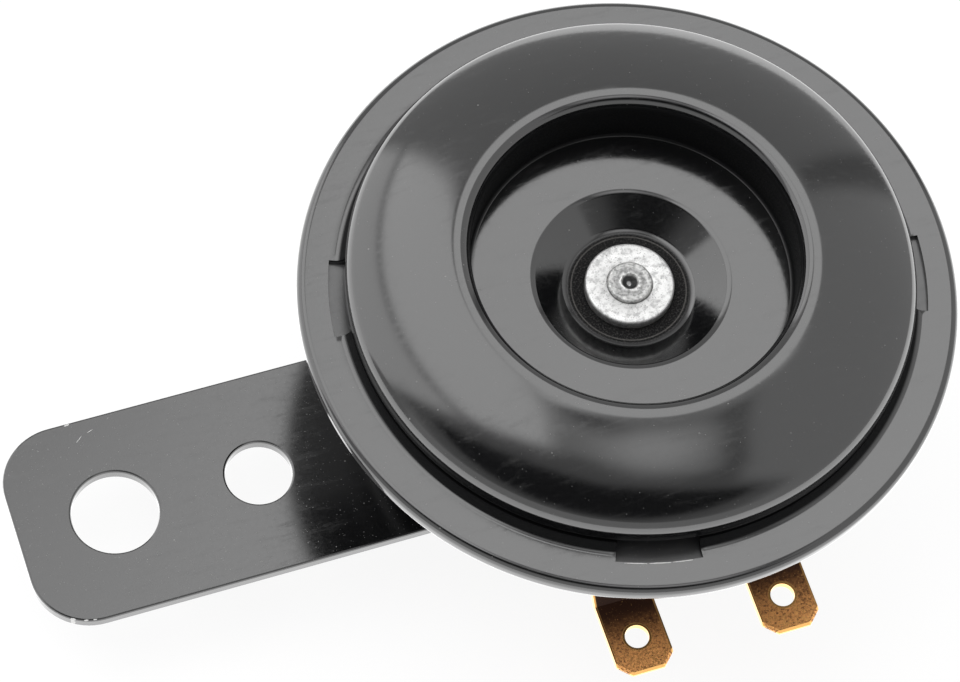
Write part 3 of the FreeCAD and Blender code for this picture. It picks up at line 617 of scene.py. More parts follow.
@dataclass(frozen=True)
class ZincPlate(Finish):
    """Bright zinc plate on steel, scuffed by handling.

    Attributes:
        scuff: share of the surface with grey scuffs.
        grey: colour of a scuff.
        pit: colour of a pit.
    """

    scuff: float = 0.5
    grey: Colour = (0.30, 0.30, 0.30)
    pit: Colour = (0.12, 0.12, 0.12)

    def lay(self, maker: NodeMaker) -> None:
        """Builds the nodes of the plate.

        Args:
            maker: the maker of the material's tree.
        """
        patches = maker.noise(ZINC_PATCHES)
        pits = maker.noise(ZINC_PITS)
        worn = patches.over(1.0 - self.scuff * 0.9, 0.08)
        colour = maker.mix(worn * 0.6, self.colour, self.grey)
        colour = maker.mix(pits.over(0.62, 0.04) * 0.7, colour, self.pit)
        maker.surface(maker.shader(
            Base_Color=colour, Metallic=0.7, Roughness=patches.ramp(0.3, 0.7, 0.34, 0.55),
            Normal=maker.bump(pits * 0.5 + patches * 0.5, 0.02)))


@dataclass(frozen=True)
class BareSteel(Finish):
    """Turned or pressed steel without paint.

    Attributes:
        grain: depth of its machining marks in millimetres.
        shine: roughness.
    """

    grain: float = 0.004
    shine: float = 0.38

    def lay(self, maker: NodeMaker) -> None:
        """Builds the nodes of the steel.

        Args:
            maker: the maker of the material's tree.
        """
        marks = maker.noise(STEEL_MARKS)
        stain = maker.noise(STEEL_STAIN).ramp(0.35, 0.75)
        maker.surface(maker.shader(
            Base_Color=maker.mix(stain, self.colour, self.shaded(0.62)), Metallic=1.0,
            Roughness=marks.ramp(0.3, 0.7, self.shine - 0.06, self.shine + 0.08),
            Normal=maker.bump(marks, self.grain)))


@dataclass(frozen=True)
class PeenedSteel(Finish):
    """The armature's iron, with the hammered end of its stem.

    Attributes:
        crater: radius in millimetres of the groove that the peening left.
        dimple: radius of the dimple in the middle.
        painted_glint: X and Y from the axis to the painted highlight in that dimple.
        swirl: radians of the tool's rings a millimetre.
        ring: colour of those rings.
        groove: colour of the painted shade in the groove.
        shadow: colour of the painted shade in the dimple.
        bright: colour of the painted highlight.
    """

    crater: float = 1.75
    dimple: float = 0.8
    painted_glint: tuple[float, float] = (-0.05, 0.1)
    swirl: float = 9.0
    ring: Colour = (0.12, 0.12, 0.12)
    groove: Colour = (0.10, 0.10, 0.10)
    shadow: Colour = (0.02, 0.02, 0.02)
    bright: Colour = (0.7, 0.7, 0.7)

    def lay(self, maker: NodeMaker) -> None:
        """Builds the nodes of the iron.

        Args:
            maker: the maker of the material's tree.
        """
        radius = maker.radius()
        blows = maker.noise(HAMMER_BLOWS)
        wavy = maker.noise(HAMMER_WAVE) * 0.5 + radius
        rings = (wavy * self.swirl).sine().ramp(-0.6, 0.9)
        crater = abs(wavy - self.crater).under(0.3, 0.2)
        # Painted highlight: a bright point in the dimple, mixed into the colour below.
        painted_glint = maker.radius(AXIS_X + self.painted_glint[0], self.painted_glint[1]).under(0.22, 0.08)
        colour = maker.mix(blows.over(0.54, 0.14), self.colour, self.shaded(0.45))
        colour = maker.mix(rings * 0.3, colour, self.ring)
        # Painted shade: the groove round the peened end and the dimple in its middle are darkened in the
        # colour.
        colour = maker.mix(crater * 0.5, colour, self.groove)
        colour = maker.mix(radius.under(self.dimple, 0.12) * 0.9, colour, self.shadow)
        relief = blows * 0.7 + maker.noise(HAMMER_PITS) * 0.2 + crater * -0.4
        maker.surface(maker.shader(
            Base_Color=maker.mix(painted_glint, colour, self.bright), Metallic=0.85,
            Roughness=blows.ramp(0.3, 0.7, 0.34, 0.6), Normal=maker.bump(relief, 0.09)))


@dataclass(frozen=True)
class TarnishedBrass(Finish):
    """Terminal brass, brown with tarnish and rubbed bright at its tip, hole and edges, which also carry a
    painted highlight.

    Attributes:
        metal: colour of the bright metal.
        tipward_colour: the lighter, more orange colour that the brass takes on towards its tip.
        centre: a tab's centre line, in millimetres along X, where the piece is a tab.
        half: from the centre line to the side that is rubbed bright and carries a painted highlight.
        tip: from the horn's axis to the tip that is rubbed bright and carries a painted highlight, towards
            -Y.
        hole_row: from the horn's axis to the hole.
        hole: radius of the bright ring round the hole, rubbed metal with a painted highlight.
    """

    metal: Colour = (0.95, 0.52, 0.17)
    tipward_colour: Colour = (0.95, 0.42, 0.14)
    centre: float | None = None
    half: float = 2.98
    tip: float = 35.12
    hole_row: float = 31.4
    hole: float = 1.55

    def rubbed(self, maker: NodeMaker, grain: Socket) -> Socket:
        """Finds where the brass is rubbed bright and carries a painted highlight.

        Args:
            maker: the maker of the material's tree.
            grain: the metal's grain.

        Returns:
            One where it is bright and nothing elsewhere.
        """
        if self.centre is None:
            return grain.over(0.5, 0.1)
        east, north, _ = maker.split(maker.place())
        toward_tip = (-north).ramp(27.0, 35.5)
        face = (maker.noise(BRASS_SPECKS) * 0.6 + grain * 0.4 + toward_tip * 0.13).over(0.66, 0.05)
        # Rubbed metal and painted highlight: the tab's sides, tip and hole rim are made bright where their
        # rounded edges catch the light.
        side = abs(east - self.centre).over(self.half, 0.06) * 0.85
        tip = (-north).over(self.tip, 0.05)
        hole = maker.radius(self.centre, -self.hole_row).under(self.hole, 0.08)
        return reduce(Socket.larger, (face, side, tip, hole)).smaller(1.0)

    def lay(self, maker: NodeMaker) -> None:
        """Builds the nodes of the brass.

        Args:
            maker: the maker of the material's tree.
        """
        _, north, _ = maker.split(maker.place())
        grain = maker.noise(BRASS_GRAIN)
        bright = self.rubbed(maker, grain)
        # Lighter and more orange towards the tip, broken up by the grain.
        thin = (-north).ramp(28.0, 35.2) * grain.ramp(0.28, 0.6)
        colour = maker.mix(thin * 0.95, self.colour, self.tipward_colour)
        maker.surface(maker.shader(
            Base_Color=maker.mix(bright, colour, self.metal), Metallic=bright.ramp(0.2, 0.9),
            Roughness=maker.blend(bright, 0.5, 0.28), Specular_IOR_Level=0.15,
            Normal=maker.bump(grain, 0.01)))


@dataclass(frozen=True)
class BoardStock(Finish):
    """Pressed insulating board or gasket fibre.

    Attributes:
        fleck: colour of its fibres.
        layers: how many times thinner than wide its layers are.
    """

    fleck: Colour = (0.3, 0.2, 0.12)
    layers: float = 6.0

    def lay(self, maker: NodeMaker) -> None:
        """Builds the nodes of the board.

        Args:
            maker: the maker of the material's tree.
        """
        x, y, z = maker.split(maker.place())
        layered = maker.noise(BOARD_LAYERS, maker.join(x, y, z * self.layers)).ramp(0.35, 0.7)
        fibres = maker.noise(BOARD_FIBRES)
        maker.surface(maker.shader(
            Base_Color=maker.mix(layered, self.colour, self.fleck),
            Roughness=fibres.ramp(0.3, 0.7, 0.5, 0.7), Normal=maker.bump(fibres, 0.01)))


@dataclass(frozen=True)
class MouldedPlastic(Finish):
    """Moulded plastic with a fine matt grain."""

    def lay(self, maker: NodeMaker) -> None:
        """Builds the nodes of the plastic.

        Args:
            maker: the maker of the material's tree.
        """
        grain = maker.noise(PLASTIC_GRAIN)
        maker.surface(maker.shader(
            Base_Color=maker.mix(maker.noise(PLASTIC_CLOUD), self.colour, self.shaded(0.8)),
            Roughness=grain.ramp(0.3, 0.7, 0.38, 0.5), Normal=maker.bump(grain, 0.006)))


@dataclass(frozen=True)
class EnamelledWire(Finish):
    """Enamelled copper wire, wound in layers where it is the coil.

    Attributes:
        pitch: millimetres from one turn to the next, or 0 on a single wire.
    """

    pitch: float = 0.0

    def lay(self, maker: NodeMaker) -> None:
        """Builds the nodes of the wire.

        Args:
            maker: the maker of the material's tree.
        """
        cloud = maker.noise(WIRE_CLOUD)
        normal = maker.bump(maker.noise(WIRE_SKIN), 0.004)
        if self.pitch:
            _, _, height = maker.split(maker.place())
            turns = abs((height * (math.pi / self.pitch)).sine())
            normal = maker.bump(turns, self.pitch * 0.3, normal)
        maker.surface(maker.shader(
            Base_Color=maker.mix(cloud, self.colour, self.shaded(0.6)), Metallic=0.8,
            Roughness=cloud.ramp(0.3, 0.7, 0.25, 0.4), Coat_Weight=0.6, Normal=normal))


PAINT: Colour = (0.0032, 0.0033, 0.0036)
RING_PAINT = BlackPaint(
    "ring_black_paint", "black_paint", PAINT, gloss=0.1, zones=(Zone(29.0, 31.15, low=23.72),),
    marks=(Mark(46.47, -30.19, 1.2, 0.05, -18.2), Mark(48.87, -30.88, 1.2, 0.06, -13.7),
           Mark(51.32, -31.37, 1.2, 0.05, -9.2)))
DISC_PAINT = BlackPaint("disc_black_paint", "black_paint", PAINT, gloss=0.1, dust=0.06,
                        zones=(Zone(-1.0, 6.6, dust=1.0), Zone(16.75, 17.6, high=31.3)))
CUP_PAINT = BlackPaint("cup_black_paint", "black_paint", PAINT, gloss=0.1)
SHEET_PAINT = BlackPaint("diaphragm_black_paint", "black_paint", (0.022, 0.022, 0.023), gloss=0.3, dust=0.3)
BRACKET_PAINT = BlackPaint(
    "bracket_black_paint", "black_paint", PAINT, gloss=0.14, dust=0.3,
    marks=(Mark(-2.16, 11.38, 0.3, 0.12, 8.0), Mark(-1.3, 9.4, 0.6, 0.03, 38.0),
           Mark(0.1, 10.0, 0.35, 0.03, 20.0), Mark(-7.7, -10.6, 0.3, 0.09, -24.0),
           Mark(-6.4, -11.15, 0.25, 0.08, -14.0), Mark(-5.5, -11.35, 0.2, 0.07, -8.0)))
ZINC = ZincPlate("bright_zinc", "zinc_steel", (0.60, 0.60, 0.595))
FIXING_ZINC = ZincPlate("fixing_zinc", "zinc_steel", (0.72, 0.73, 0.74), scuff=0.35)
ARMATURE_IRON = PeenedSteel("armature_iron", "soft_iron", (0.66, 0.66, 0.65))
CORE_IRON = BareSteel("core_iron", "soft_iron", (0.48, 0.47, 0.46))
SPRING_STEEL = BareSteel("spring_steel_strip", "spring_steel", (0.52, 0.50, 0.47), grain=0.002, shine=0.3)
CONTACT = BareSteel("contact_silver", "contact_metal", (0.62, 0.62, 0.63), shine=0.3)
TARNISH: Colour = (0.034, 0.013, 0.007)
LEFT_BRASS = TarnishedBrass("left_tab_brass", "terminal_brass", TARNISH, centre=AXIS_X - TAB_OFFSET)
RIGHT_BRASS = TarnishedBrass("right_tab_brass", "terminal_brass", TARNISH, centre=AXIS_X + TAB_OFFSET)
RIVET_BRASS = TarnishedBrass("rivet_brass", "terminal_brass", (0.25, 0.13, 0.05))
INSULATION = BoardStock("insulating_board", "insulation", (0.13, 0.055, 0.028), fleck=(0.22, 0.11, 0.06))
GASKET = BoardStock("gasket_board", "gasket_fibre", (0.16, 0.15, 0.13), fleck=(0.27, 0.25, 0.21))
BOBBIN = MouldedPlastic("bobbin_plastic_grain", "bobbin_plastic", (0.62, 0.60, 0.53))
COPPER: Colour = (0.62, 0.22, 0.07)
COIL_WIRE = EnamelledWire("coil_wire", "enamelled_copper", COPPER, pitch=0.55)
LEAD_WIRE = EnamelledWire("lead_wire", "enamelled_copper", COPPER)

NODES_BY_FINISH: dict[Finish, tuple[str, ...]] = {
    FIXING_ZINC: ("adjusting_screw", "contact_clamp", "contact_rivets", "plain_washer", "rear_nut",
                  "spring_washer", "tone_spacer"),
    ARMATURE_IRON: ("armature",),
    CORE_IRON: ("pole_core",),
    SPRING_STEEL: ("contact_leaf", "fixed_contact_arm"),
    CONTACT: ("fixed_contact", "moving_contact"),
    CUP_PAINT: ("rear_housing",),
    SHEET_PAINT: ("diaphragm",),
    LEFT_BRASS: ("terminal_left",),
    RIGHT_BRASS: ("terminal_right",),
    RIVET_BRASS: ("tag_left", "tag_right", "terminal_rivets"),
    INSULATION: ("contact_block", "contact_insulator", "inner_insulator", "outer_insulator"),
    GASKET: ("gasket",),
    BOBBIN: ("coil_bobbin",),
    COIL_WIRE: ("coil_winding",),
    LEAD_WIRE: ("lead_coil", "lead_left", "lead_right"),
}
NODE_FINISHES: dict[str, Finish] = {
    name: finish for finish, names in NODES_BY_FINISH.items() for name in names}


@dataclass(frozen=True)
class Corner:
    """A corner of a section or outline.

    Attributes:
        out: distance from the horn's axis, or X, in millimetres.
        up: height, or Y, in millimetres.
        bend: radius that rounds the corner, in millimetres.
        steps: segments of that bend.
    """

    out: float
    up: float
    bend: float = 0.0
    steps: int = 6


class Shape:
    """A mesh in the making, with the bmesh operators that this horn's pieces use."""

    def __init__(self) -> None:
        """Starts an empty mesh."""
        self.bm = bmesh.new()

    def line(self, corners: Sequence[Corner], closed: bool = False,
             upright: bool = True) -> list[bmesh.types.BMEdge]:
        """Draws a line through corners and rounds each by its bend.

        Args:
            corners: the corners in order.
            closed: whether the last one joins the first.
            upright: whether the line lies in the XZ plane through the horn's axis, or else flat at height 0.

        Returns:
            The line's edges.
        """
        known = set(self.bm.edges)
        spots = []
        for corner in corners:
            place = ((AXIS_X + corner.out) * MM, 0.0, corner.up * MM) if upright \
                else (corner.out * MM, corner.up * MM, 0.0)
            spots.append(bmesh.ops.create_vert(self.bm, co=place)["vert"][0])
        pairs = list(zip(spots, spots[1:])) + ([(spots[-1], spots[0])] if closed else [])
        for start, end in pairs:
            self.bm.edges.new((start, end))
        count = len(corners)
        for index, corner in enumerate(corners):
            if not corner.bend or (not closed and index in (0, count - 1)):
                continue
            before, after = corners[index - 1], corners[(index + 1) % count]
            first = math.atan2(corner.up - before.up, corner.out - before.out)
            second = math.atan2(after.up - corner.up, after.out - corner.out)
            turn = abs(math.remainder(second - first, 2 * math.pi))
            bmesh.ops.bevel(self.bm, geom=[spots[index]], offset=corner.bend * math.tan(turn / 2) * MM,
                            offset_type="OFFSET", segments=corner.steps, profile=0.5, affect="VERTICES",
                            material=-1)
        return [edge for edge in self.bm.edges if edge not in known]

    def turn(self, edges: Sequence[bmesh.types.BMEdge], steps: int, start: float = 0.0,
             sweep: float = FULL_TURN) -> None:
        """Spins a section round the horn's axis.

        Args:
            edges: the section's edges.
            steps: segments of the sweep.
            start: degrees from +X at which it starts.
            sweep: degrees that it covers.
        """
        points = list(dict.fromkeys(vert for edge in edges for vert in edge.verts))
        centre = Vector((AXIS_X * MM, 0.0, 0.0))
        turned = Matrix.Rotation(math.radians(start), 3, "Z")
        bmesh.ops.rotate(self.bm, verts=points, cent=centre, matrix=turned)
        bmesh.ops.spin(self.bm, geom=points + list(edges), cent=centre, axis=(0.0, 0.0, 1.0), steps=steps,
                       angle=math.radians(sweep), use_merge=sweep >= FULL_TURN, use_duplicate=False)

    def clean(self) -> None:
        """Merges doubles and makes the faces look the same way, which is outwards on a closed mesh."""
        bmesh.ops.remove_doubles(self.bm, verts=self.bm.verts[:], dist=MERGE_DISTANCE)
        bmesh.ops.recalc_face_normals(self.bm, faces=self.bm.faces[:])

    def face_outwards(self, outward: Callable[[bmesh.types.BMFace], float]) -> None:
        """Turns an open sheet over where most of its faces look inwards.

        Args:
            outward: tells how far a face looks outwards.
        """
        if sum(outward(face) for face in self.bm.faces) < 0:
            bmesh.ops.reverse_faces(self.bm, faces=self.bm.faces[:])

    def thicken(self, sheet: float) -> None:
        """Gives an open sheet its thickness behind its faces."""
        bmesh.ops.solidify(self.bm, geom=self.bm.faces[:], thickness=sheet * MM)

    def soften(self, width: float, steps: int = 2, above: float = 50.0) -> None:
        """Bevels the edges whose faces meet at more than an angle.

        Args:
            width: of the bevel in millimetres.
            steps: its segments.
            above: degrees of that angle.
        """
        sharp = [edge for edge in self.bm.edges
                 if len(edge.link_faces) == 2 and edge.calc_face_angle(0.0) > math.radians(above)]
        bmesh.ops.bevel(self.bm, geom=sharp, offset=width * MM, offset_type="OFFSET", segments=steps,
                        profile=0.5, affect="EDGES", clamp_overlap=True, material=-1)

    def piece(self, name: str, finish: Finish, body: Body, replaces: Sequence[str],
              sharp: float = 35.0) -> bpy.types.Object:
        """Makes the object and frees the mesh in the making.

        Args:
            name: of the object.
            finish: its finish.
            body: the body that it rides on.
            replaces: the CAD nodes that it stands for.
            sharp: degrees above which an edge isn't smoothed.

        Returns:
            The object.
        """
        mesh = bpy.data.meshes.new(name)
        self.bm.to_mesh(mesh)
        self.bm.free()
        mesh.shade_smooth()
        mesh.set_sharp_from_angle(angle=math.radians(sharp))
        mesh.materials.append(finish.material())
        made = bpy.data.objects.new(name, mesh)
        bpy.context.scene.collection.objects.link(made)
        weighted = made.modifiers.new("weighted_normal", "WEIGHTED_NORMAL")
        weighted.keep_sharp = True
        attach(made, body.value)
        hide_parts(*replaces)
        LOG.info("%s: %d faces on %s", name, len(mesh.polygons), body.value)
        return made


@dataclass
class ToneDisc:
    """The pressed disc: seat, dish, flat floor, upright wall, crest, dome and free edge.

    Attributes:
        sheet: thickness.
        hole: radius of the hole for the stem.
        seat: radius and height of the seat's edge.
        floor: radius and height where the dish meets the floor.
        dish_bend: radius of the bends at those two.
        wall: radius of the recess wall.
        wall_bend: radius of the bend between floor and wall.
        wall_top: height where the lead-in starts.
        lead_bend: radius of the bend there.
        mouth: radius of the mouth at the crest.
        mouth_bend: radius of the mouth's bend.
        crest: radius and height where the dome starts.
        crest_bend: radius of the bend there.
        dome: radius and height of the corner of the dome's two end tangents.
        dome_radius: profile radius of the dome.
        skirt: radius and height of the corner between the dome and the upright edge.
        skirt_bend: radius of the bend there.
        lip: radius and height of the free edge.
        edge: rounding of the sheared edges under the paint.
        steps: segments round the axis.
    """

    sheet: float = 0.8
    hole: float = 2.45
    seat: tuple[float, float] = (6.8, 23.0)
    floor: tuple[float, float] = (10.35, 25.5)
    dish_bend: float = 1.2
    wall: float = 17.19
    wall_bend: float = 0.4
    wall_top: float = 30.9
    lead_bend: float = 1.4
    mouth: float = 17.79
    mouth_bend: float = 1.1
    crest: tuple[float, float] = (19.165, 32.1)
    crest_bend: float = 3.0
    dome: tuple[float, float] = (24.737, 31.218)
    dome_radius: float = 22.8
    skirt: tuple[float, float] = (30.006, 27.528)
    skirt_bend: float = 2.0
    lip: tuple[float, float] = (30.084, 25.3)
    edge: float = 0.16
    steps: int = 288

    def build(self) -> None:
        """Builds the disc and dresses it."""
        shape = Shape()
        section = shape.line([
            Corner(self.hole, self.seat[1]), Corner(*self.seat, self.dish_bend),
            Corner(*self.floor, self.dish_bend), Corner(self.wall, self.floor[1], self.wall_bend),
            Corner(self.wall, self.wall_top, self.lead_bend, 4),
            Corner(self.mouth, self.crest[1], self.mouth_bend, 8),
            Corner(*self.crest, self.crest_bend, 4), Corner(*self.dome, self.dome_radius, 28),
            Corner(*self.skirt, self.skirt_bend, 18), Corner(*self.lip)])
        shape.turn(section, self.steps)
        shape.clean()
        shape.face_outwards(lambda face: face.normal.z * face.calc_area())
        shape.thicken(self.sheet)
        shape.soften(self.edge, 3)
        shape.piece("tone_disc_pressing", DISC_PAINT, Body.TONE, ["tone_disc"])


@dataclass
class FrontRing:
    """The outer ring, rolled round the housing's rim, with an upturned inner wall cut by four windows.

    Attributes:
        sheet: thickness.
        wall: radius and height of the inner wall's top.
        foot: radius of the corner between the wall and the flat.
        foot_bend: radius of the bend there.
        top: height of the flat.
        rim: outer radius.
        rim_bend: radius of the rim's upper bend.
        rear: height of the rolled lip's rear face.
        rear_bend: radius of the rim's lower bend.
        crimp: radius of the rolled lip's inner edge.
        inside: height of a point on the axis that the ring's outer faces look away from.
        notch: radius of the windows' outer side.
        windows: how many windows there are.
        window: degrees of one window.
        first: degrees from +X to the first window's middle.
        land_steps: segments of a land between two windows.
        window_steps: segments of a window.
        edge: rounding of the sheared edges under the paint.
    """

    sheet: float = 0.6
    wall: tuple[float, float] = (30.0, 24.5)
    foot: float = 30.233
    foot_bend: float = 1.199
    top: float = 23.6
    rim: float = 35.0
    rim_bend: float = 0.9
    rear: float = 21.0
    rear_bend: float = 1.2
    crimp: float = 32.2
    inside: float = 22.5
    notch: float = 31.71
    windows: int = 4
    window: float = 16.4
    first: float = -13.7
    land_steps: int = 60
    window_steps: int = 14
    edge: float = 0.12

    def build(self) -> None:
        """Builds the ring and dresses it."""
        shape = Shape()
        outside = [Corner(self.rim, self.top, self.rim_bend, 8),
                   Corner(self.rim, self.rear, self.rear_bend, 8), Corner(self.crimp, self.rear)]
        pitch = FULL_TURN / self.windows
        for index in range(self.windows):
            centre = self.first + pitch * index
            land = shape.line([Corner(*self.wall), Corner(self.foot, self.top, self.foot_bend, 7),
                               Corner(self.notch, self.top), *outside])
            shape.turn(land, self.land_steps, centre + self.window / 2, pitch - self.window)
            gap = shape.line([Corner(self.notch, self.top), *outside])
            shape.turn(gap, self.window_steps, centre - self.window / 2, self.window)
        shape.clean()
        middle = Vector((AXIS_X * MM, 0.0, self.inside * MM))
        shape.face_outwards(lambda face: (face.calc_center_median() - middle).dot(face.normal))
        shape.thicken(self.sheet)
        shape.soften(self.edge)
        shape.piece("front_ring_pressing", RING_PAINT, Body.ROOT, ["front_ring"])


@dataclass
class ToneWasher:
    """The bright washer under the peened end of the stem.

    Attributes:
        bore: its radius inside.
        radius: its radius outside.
        low: height of its under side.
        top: height of its upper side.
        edge: rounding of the worn upper edge.
        under_edge: rounding of the lower edge.
        bore_edge: rounding of the bore's upper edge.
        steps: segments round the axis.
    """

    bore: float = 2.45
    radius: float = 4.75
    low: float = 23.0
    top: float = 24.2
    edge: float = 0.28
    under_edge: float = 0.05
    bore_edge: float = 0.04
    steps: int = 128

    def build(self) -> None:
        """Builds the washer and dresses it."""
        shape = Shape()
        section = shape.line([
            Corner(self.bore, self.low), Corner(self.radius, self.low, self.under_edge, 2),
            Corner(self.radius, self.top, self.edge, 5), Corner(self.bore, self.top, self.bore_edge, 2)],
            closed=True)
        shape.turn(section, self.steps)
        shape.clean()
        shape.piece("bright_washer", ZINC, Body.TONE, ["tone_washer"])


@dataclass
class Bracket:
    """The flat mounting bracket with its two holes and the hole for the stud.

    Attributes:
        sheet: thickness.
        near: X of the free end.
        half: half its width.
        corner: radius of the free end's corners.
        holes: X and radius of each hole.
        edge: rounding of the sheared edges under the paint.
        bow: the share of the rounding that is left at its middle.
        gap: what keeps the bends at the round end's two corners from one shared point.
        corner_steps: segments of a corner at the free end.
        end_steps: segments of half the round end.
        hole_steps: segments of a hole.
    """

    sheet: float = 1.5
    near: float = -10.8
    half: float = 11.6
    corner: float = 6.5
    holes: tuple[tuple[float, float], ...] = ((0.0, 4.75), (16.1, 3.65), (AXIS_X, 3.2))
    edge: float = 0.22
    bow: float = 0.3
    gap: float = 1e-4
    corner_steps: int = 16
    end_steps: int = 32
    hole_steps: int = 72

    def level(self, shape: Shape, inset: float, height: float) -> list[list[bmesh.types.BMEdge]]:
        """Draws the outline and the holes at one height.

        Args:
            shape: the mesh in the making.
            inset: how far the metal's edge stands back.
            height: of the level.

        Returns:
            The edges of each loop, the outline first.
        """
        known = set(shape.bm.verts)
        half = self.half - inset
        start, end = self.near + inset, AXIS_X + half
        free, round_end = self.corner - inset, half - self.gap
        loops = [shape.line([
            Corner(start, -half, free, self.corner_steps), Corner(end, -half, round_end, self.end_steps),
            Corner(end, half, round_end, self.end_steps), Corner(start, half, free, self.corner_steps)],
            closed=True, upright=False)]
        for place, radius in self.holes:
            ring = bmesh.ops.create_circle(
                shape.bm, cap_ends=False, radius=(radius + inset) * MM, segments=self.hole_steps,
                matrix=Matrix.Translation((place * MM, 0.0, 0.0)))
            loops.append(list(dict.fromkeys(edge for vert in ring["verts"] for edge in vert.link_edges)))
        for vert in shape.bm.verts:
            if vert not in known:
                vert.co.z = height * MM
        return loops

    def build(self) -> None:
        """Builds the bracket and dresses it."""
        shape = Shape()
        middle = self.edge * self.bow
        rounding = [(self.edge, 0.0), (middle, middle), (0.0, self.edge)]
        levels = rounding + [(inset, self.sheet - height) for inset, height in reversed(rounding)]
        stack = [self.level(shape, inset, height) for inset, height in levels]
        for lower, upper in zip(stack, stack[1:]):
            for one, other in zip(lower, upper):
                bmesh.ops.bridge_loops(shape.bm, edges=one + other)
        for loops in (stack[0], stack[-1]):
            rims = [edge for loop in loops for edge in loop]
            bmesh.ops.triangle_fill(shape.bm, edges=rims, use_beauty=True)
        shape.clean()
        shape.piece("bracket_plate", BRACKET_PAINT, Body.ROOT, ["mounting_bracket"], sharp=15.0)


@dataclass
class Studio:
    """The camera and the floor.

    Attributes:
        aim: the point that the camera looks at, in metres.
        distance: from that point to the camera, in metres.
        azimuth: degrees round the object, 0 towards -Y.
        elevation: degrees above the floor.
        roll: degrees.
        lens: in millimetres, on a sensor of the width below.
        sensor: width of the sensor in millimetres.
        clip: the nearest and the farthest distance that the camera sees, in metres.
        floor: height of the floor in millimetres.
        reach: radius of the floor in metres.
        steps: segments of the floor's edge.
        paper: the two shades of the floor's paper.
        glow: strength of the floor's own light where the camera sees it.
        mirrored_glow: strength of that light in the object's reflections.
        share: how much of the floor's look, for both, comes from that light.
    """

    aim: tuple[float, float, float] = (0.03924, -0.00169, 0.0236)
    distance: float = 0.43348
    azimuth: float = -26.14
    elevation: float = 63.35
    roll: float = 8.61
    lens: float = 155.875
    sensor: float = 36.0
    clip: tuple[float, float] = (0.01, 20.0)
    floor: float = -9.45
    reach: float = 2.5
    steps: int = 96
    paper: tuple[Colour, Colour] = ((0.80, 0.80, 0.80), (0.78, 0.78, 0.78))
    glow: float = 1.05
    mirrored_glow: float = 2.7
    share: float = 0.84

    def camera(self) -> None:
        """Sets up the camera at the photograph's viewing angle."""
        data = bpy.data.cameras.new("view_camera")
        data.lens = self.lens
        data.sensor_width = self.sensor
        data.clip_start, data.clip_end = self.clip
        camera = bpy.data.objects.new("view_camera", data)
        bpy.context.scene.collection.objects.link(camera)
        turn, rise, roll = (math.radians(angle) for angle in (self.azimuth, self.elevation, self.roll))
        back = Vector((math.sin(turn) * math.cos(rise), -math.cos(turn) * math.cos(rise), math.sin(rise)))
        level = Vector((math.cos(turn), math.sin(turn), 0.0))
        upright = back.cross(level)
        right = math.cos(roll) * level + math.sin(roll) * upright
        up = back.cross(right)
        place = Vector(self.aim) + self.distance * back
        camera.matrix_world = Matrix.Translation(place) @ Matrix((right, up, back)).transposed().to_4x4()
        bpy.context.scene.camera = camera

    def paper_white(self) -> bpy.types.Material:
        """Makes the floor's material, which shows white and keeps the object's shadow.

        Returns:
            The material.
        """
        material = bpy.data.materials.new("floor_white")
        material.use_nodes = True
        maker = NodeMaker(material.node_tree)
        path = maker.node("ShaderNodeLightPath").outputs
        seen = reduce(Socket.larger, [Socket(maker, path[f"Is {kind} Ray"])
                                      for kind in ("Camera", "Glossy", "Transmission")])
        matt = maker.node("ShaderNodeBsdfDiffuse", {}, {"Color": maker.mix(maker.noise(PAPER), *self.paper)})
        plain_glow, lit_glow = (
            maker.node("ShaderNodeEmission", {}, {"Color": WHITE, "Strength": strength}).outputs[0]
            for strength in (self.glow, self.mirrored_glow))
        glow = maker.node("ShaderNodeMixShader", {}, {0: path["Is Glossy Ray"], 1: plain_glow, 2: lit_glow})
        maker.surface(matt, glow, seen * self.share)
        return material

    def ground(self) -> None:
        """Lays the pale floor."""
        bm = bmesh.new()
        bmesh.ops.create_circle(bm, cap_ends=True, radius=self.reach, segments=self.steps,
                                matrix=Matrix.Translation((AXIS_X * MM, 0.0, self.floor * MM)))
        mesh = bpy.data.meshes.new("studio_floor")
        bm.to_mesh(mesh)
        bm.free()
        mesh.materials.append(self.paper_white())
        floor = bpy.data.objects.new("studio_floor", mesh)
        bpy.context.scene.collection.objects.link(floor)

    def build(self) -> None:
        """Sets up the camera and lays the floor."""
        self.camera()
        self.ground()
        LOG.info("studio: floor at %.2f mm", self.floor)


@dataclass(frozen=True)
class SkyEdge:
    """A soft straight edge in the sky.

    Attributes:
        point: a point that it runs through, in degrees east and north of the zenith.
        bearing: the direction across it, in degrees from east towards north.
        soft: half the width over which it fades, in degrees.
    """

    point: tuple[float, float]
    bearing: float
    soft: float


@dataclass(frozen=True)
class SkySpot:
    """A soft ellipse in the sky.

    Attributes:
        centre: its middle, in degrees east and north of the zenith.
        half: its half widths in degrees.
        soft: the share of them over which it fades.
    """

    centre: tuple[float, float]
    half: tuple[float, float]
    soft: float = 0.35


@dataclass(frozen=True)
class Sky:
    """The direction that the world's nodes ask for, seen from the horn.

    Attributes:
        east: degrees east of the zenith.
        north: degrees north of the zenith.
        zenith: degrees from the zenith.
    """

    east: Socket
    north: Socket
    zenith: Socket

    def beyond(self, edge: SkyEdge) -> Socket:
        """One past the edge, looking along its bearing, and nothing before it."""
        across, up = math.cos(math.radians(edge.bearing)), math.sin(math.radians(edge.bearing))
        start = edge.point[0] * across + edge.point[1] * up
        return (self.east * across + self.north * up).over(start, edge.soft)

    def inside(self, spot: SkySpot) -> Socket:
        """One in the spot and nothing outside it."""
        aside = (self.east - spot.centre[0]) / spot.half[0]
        upward = (self.north - spot.centre[1]) / spot.half[1]
        return (aside * aside + upward * upward).root().under(1.0 - spot.soft / 2, spot.soft)

    def away(self, east: float, north: float) -> Socket:
        """Degrees from a point of the sky."""
        aside, upward = self.east - east, self.north - north
        return (aside * aside + upward * upward).root()


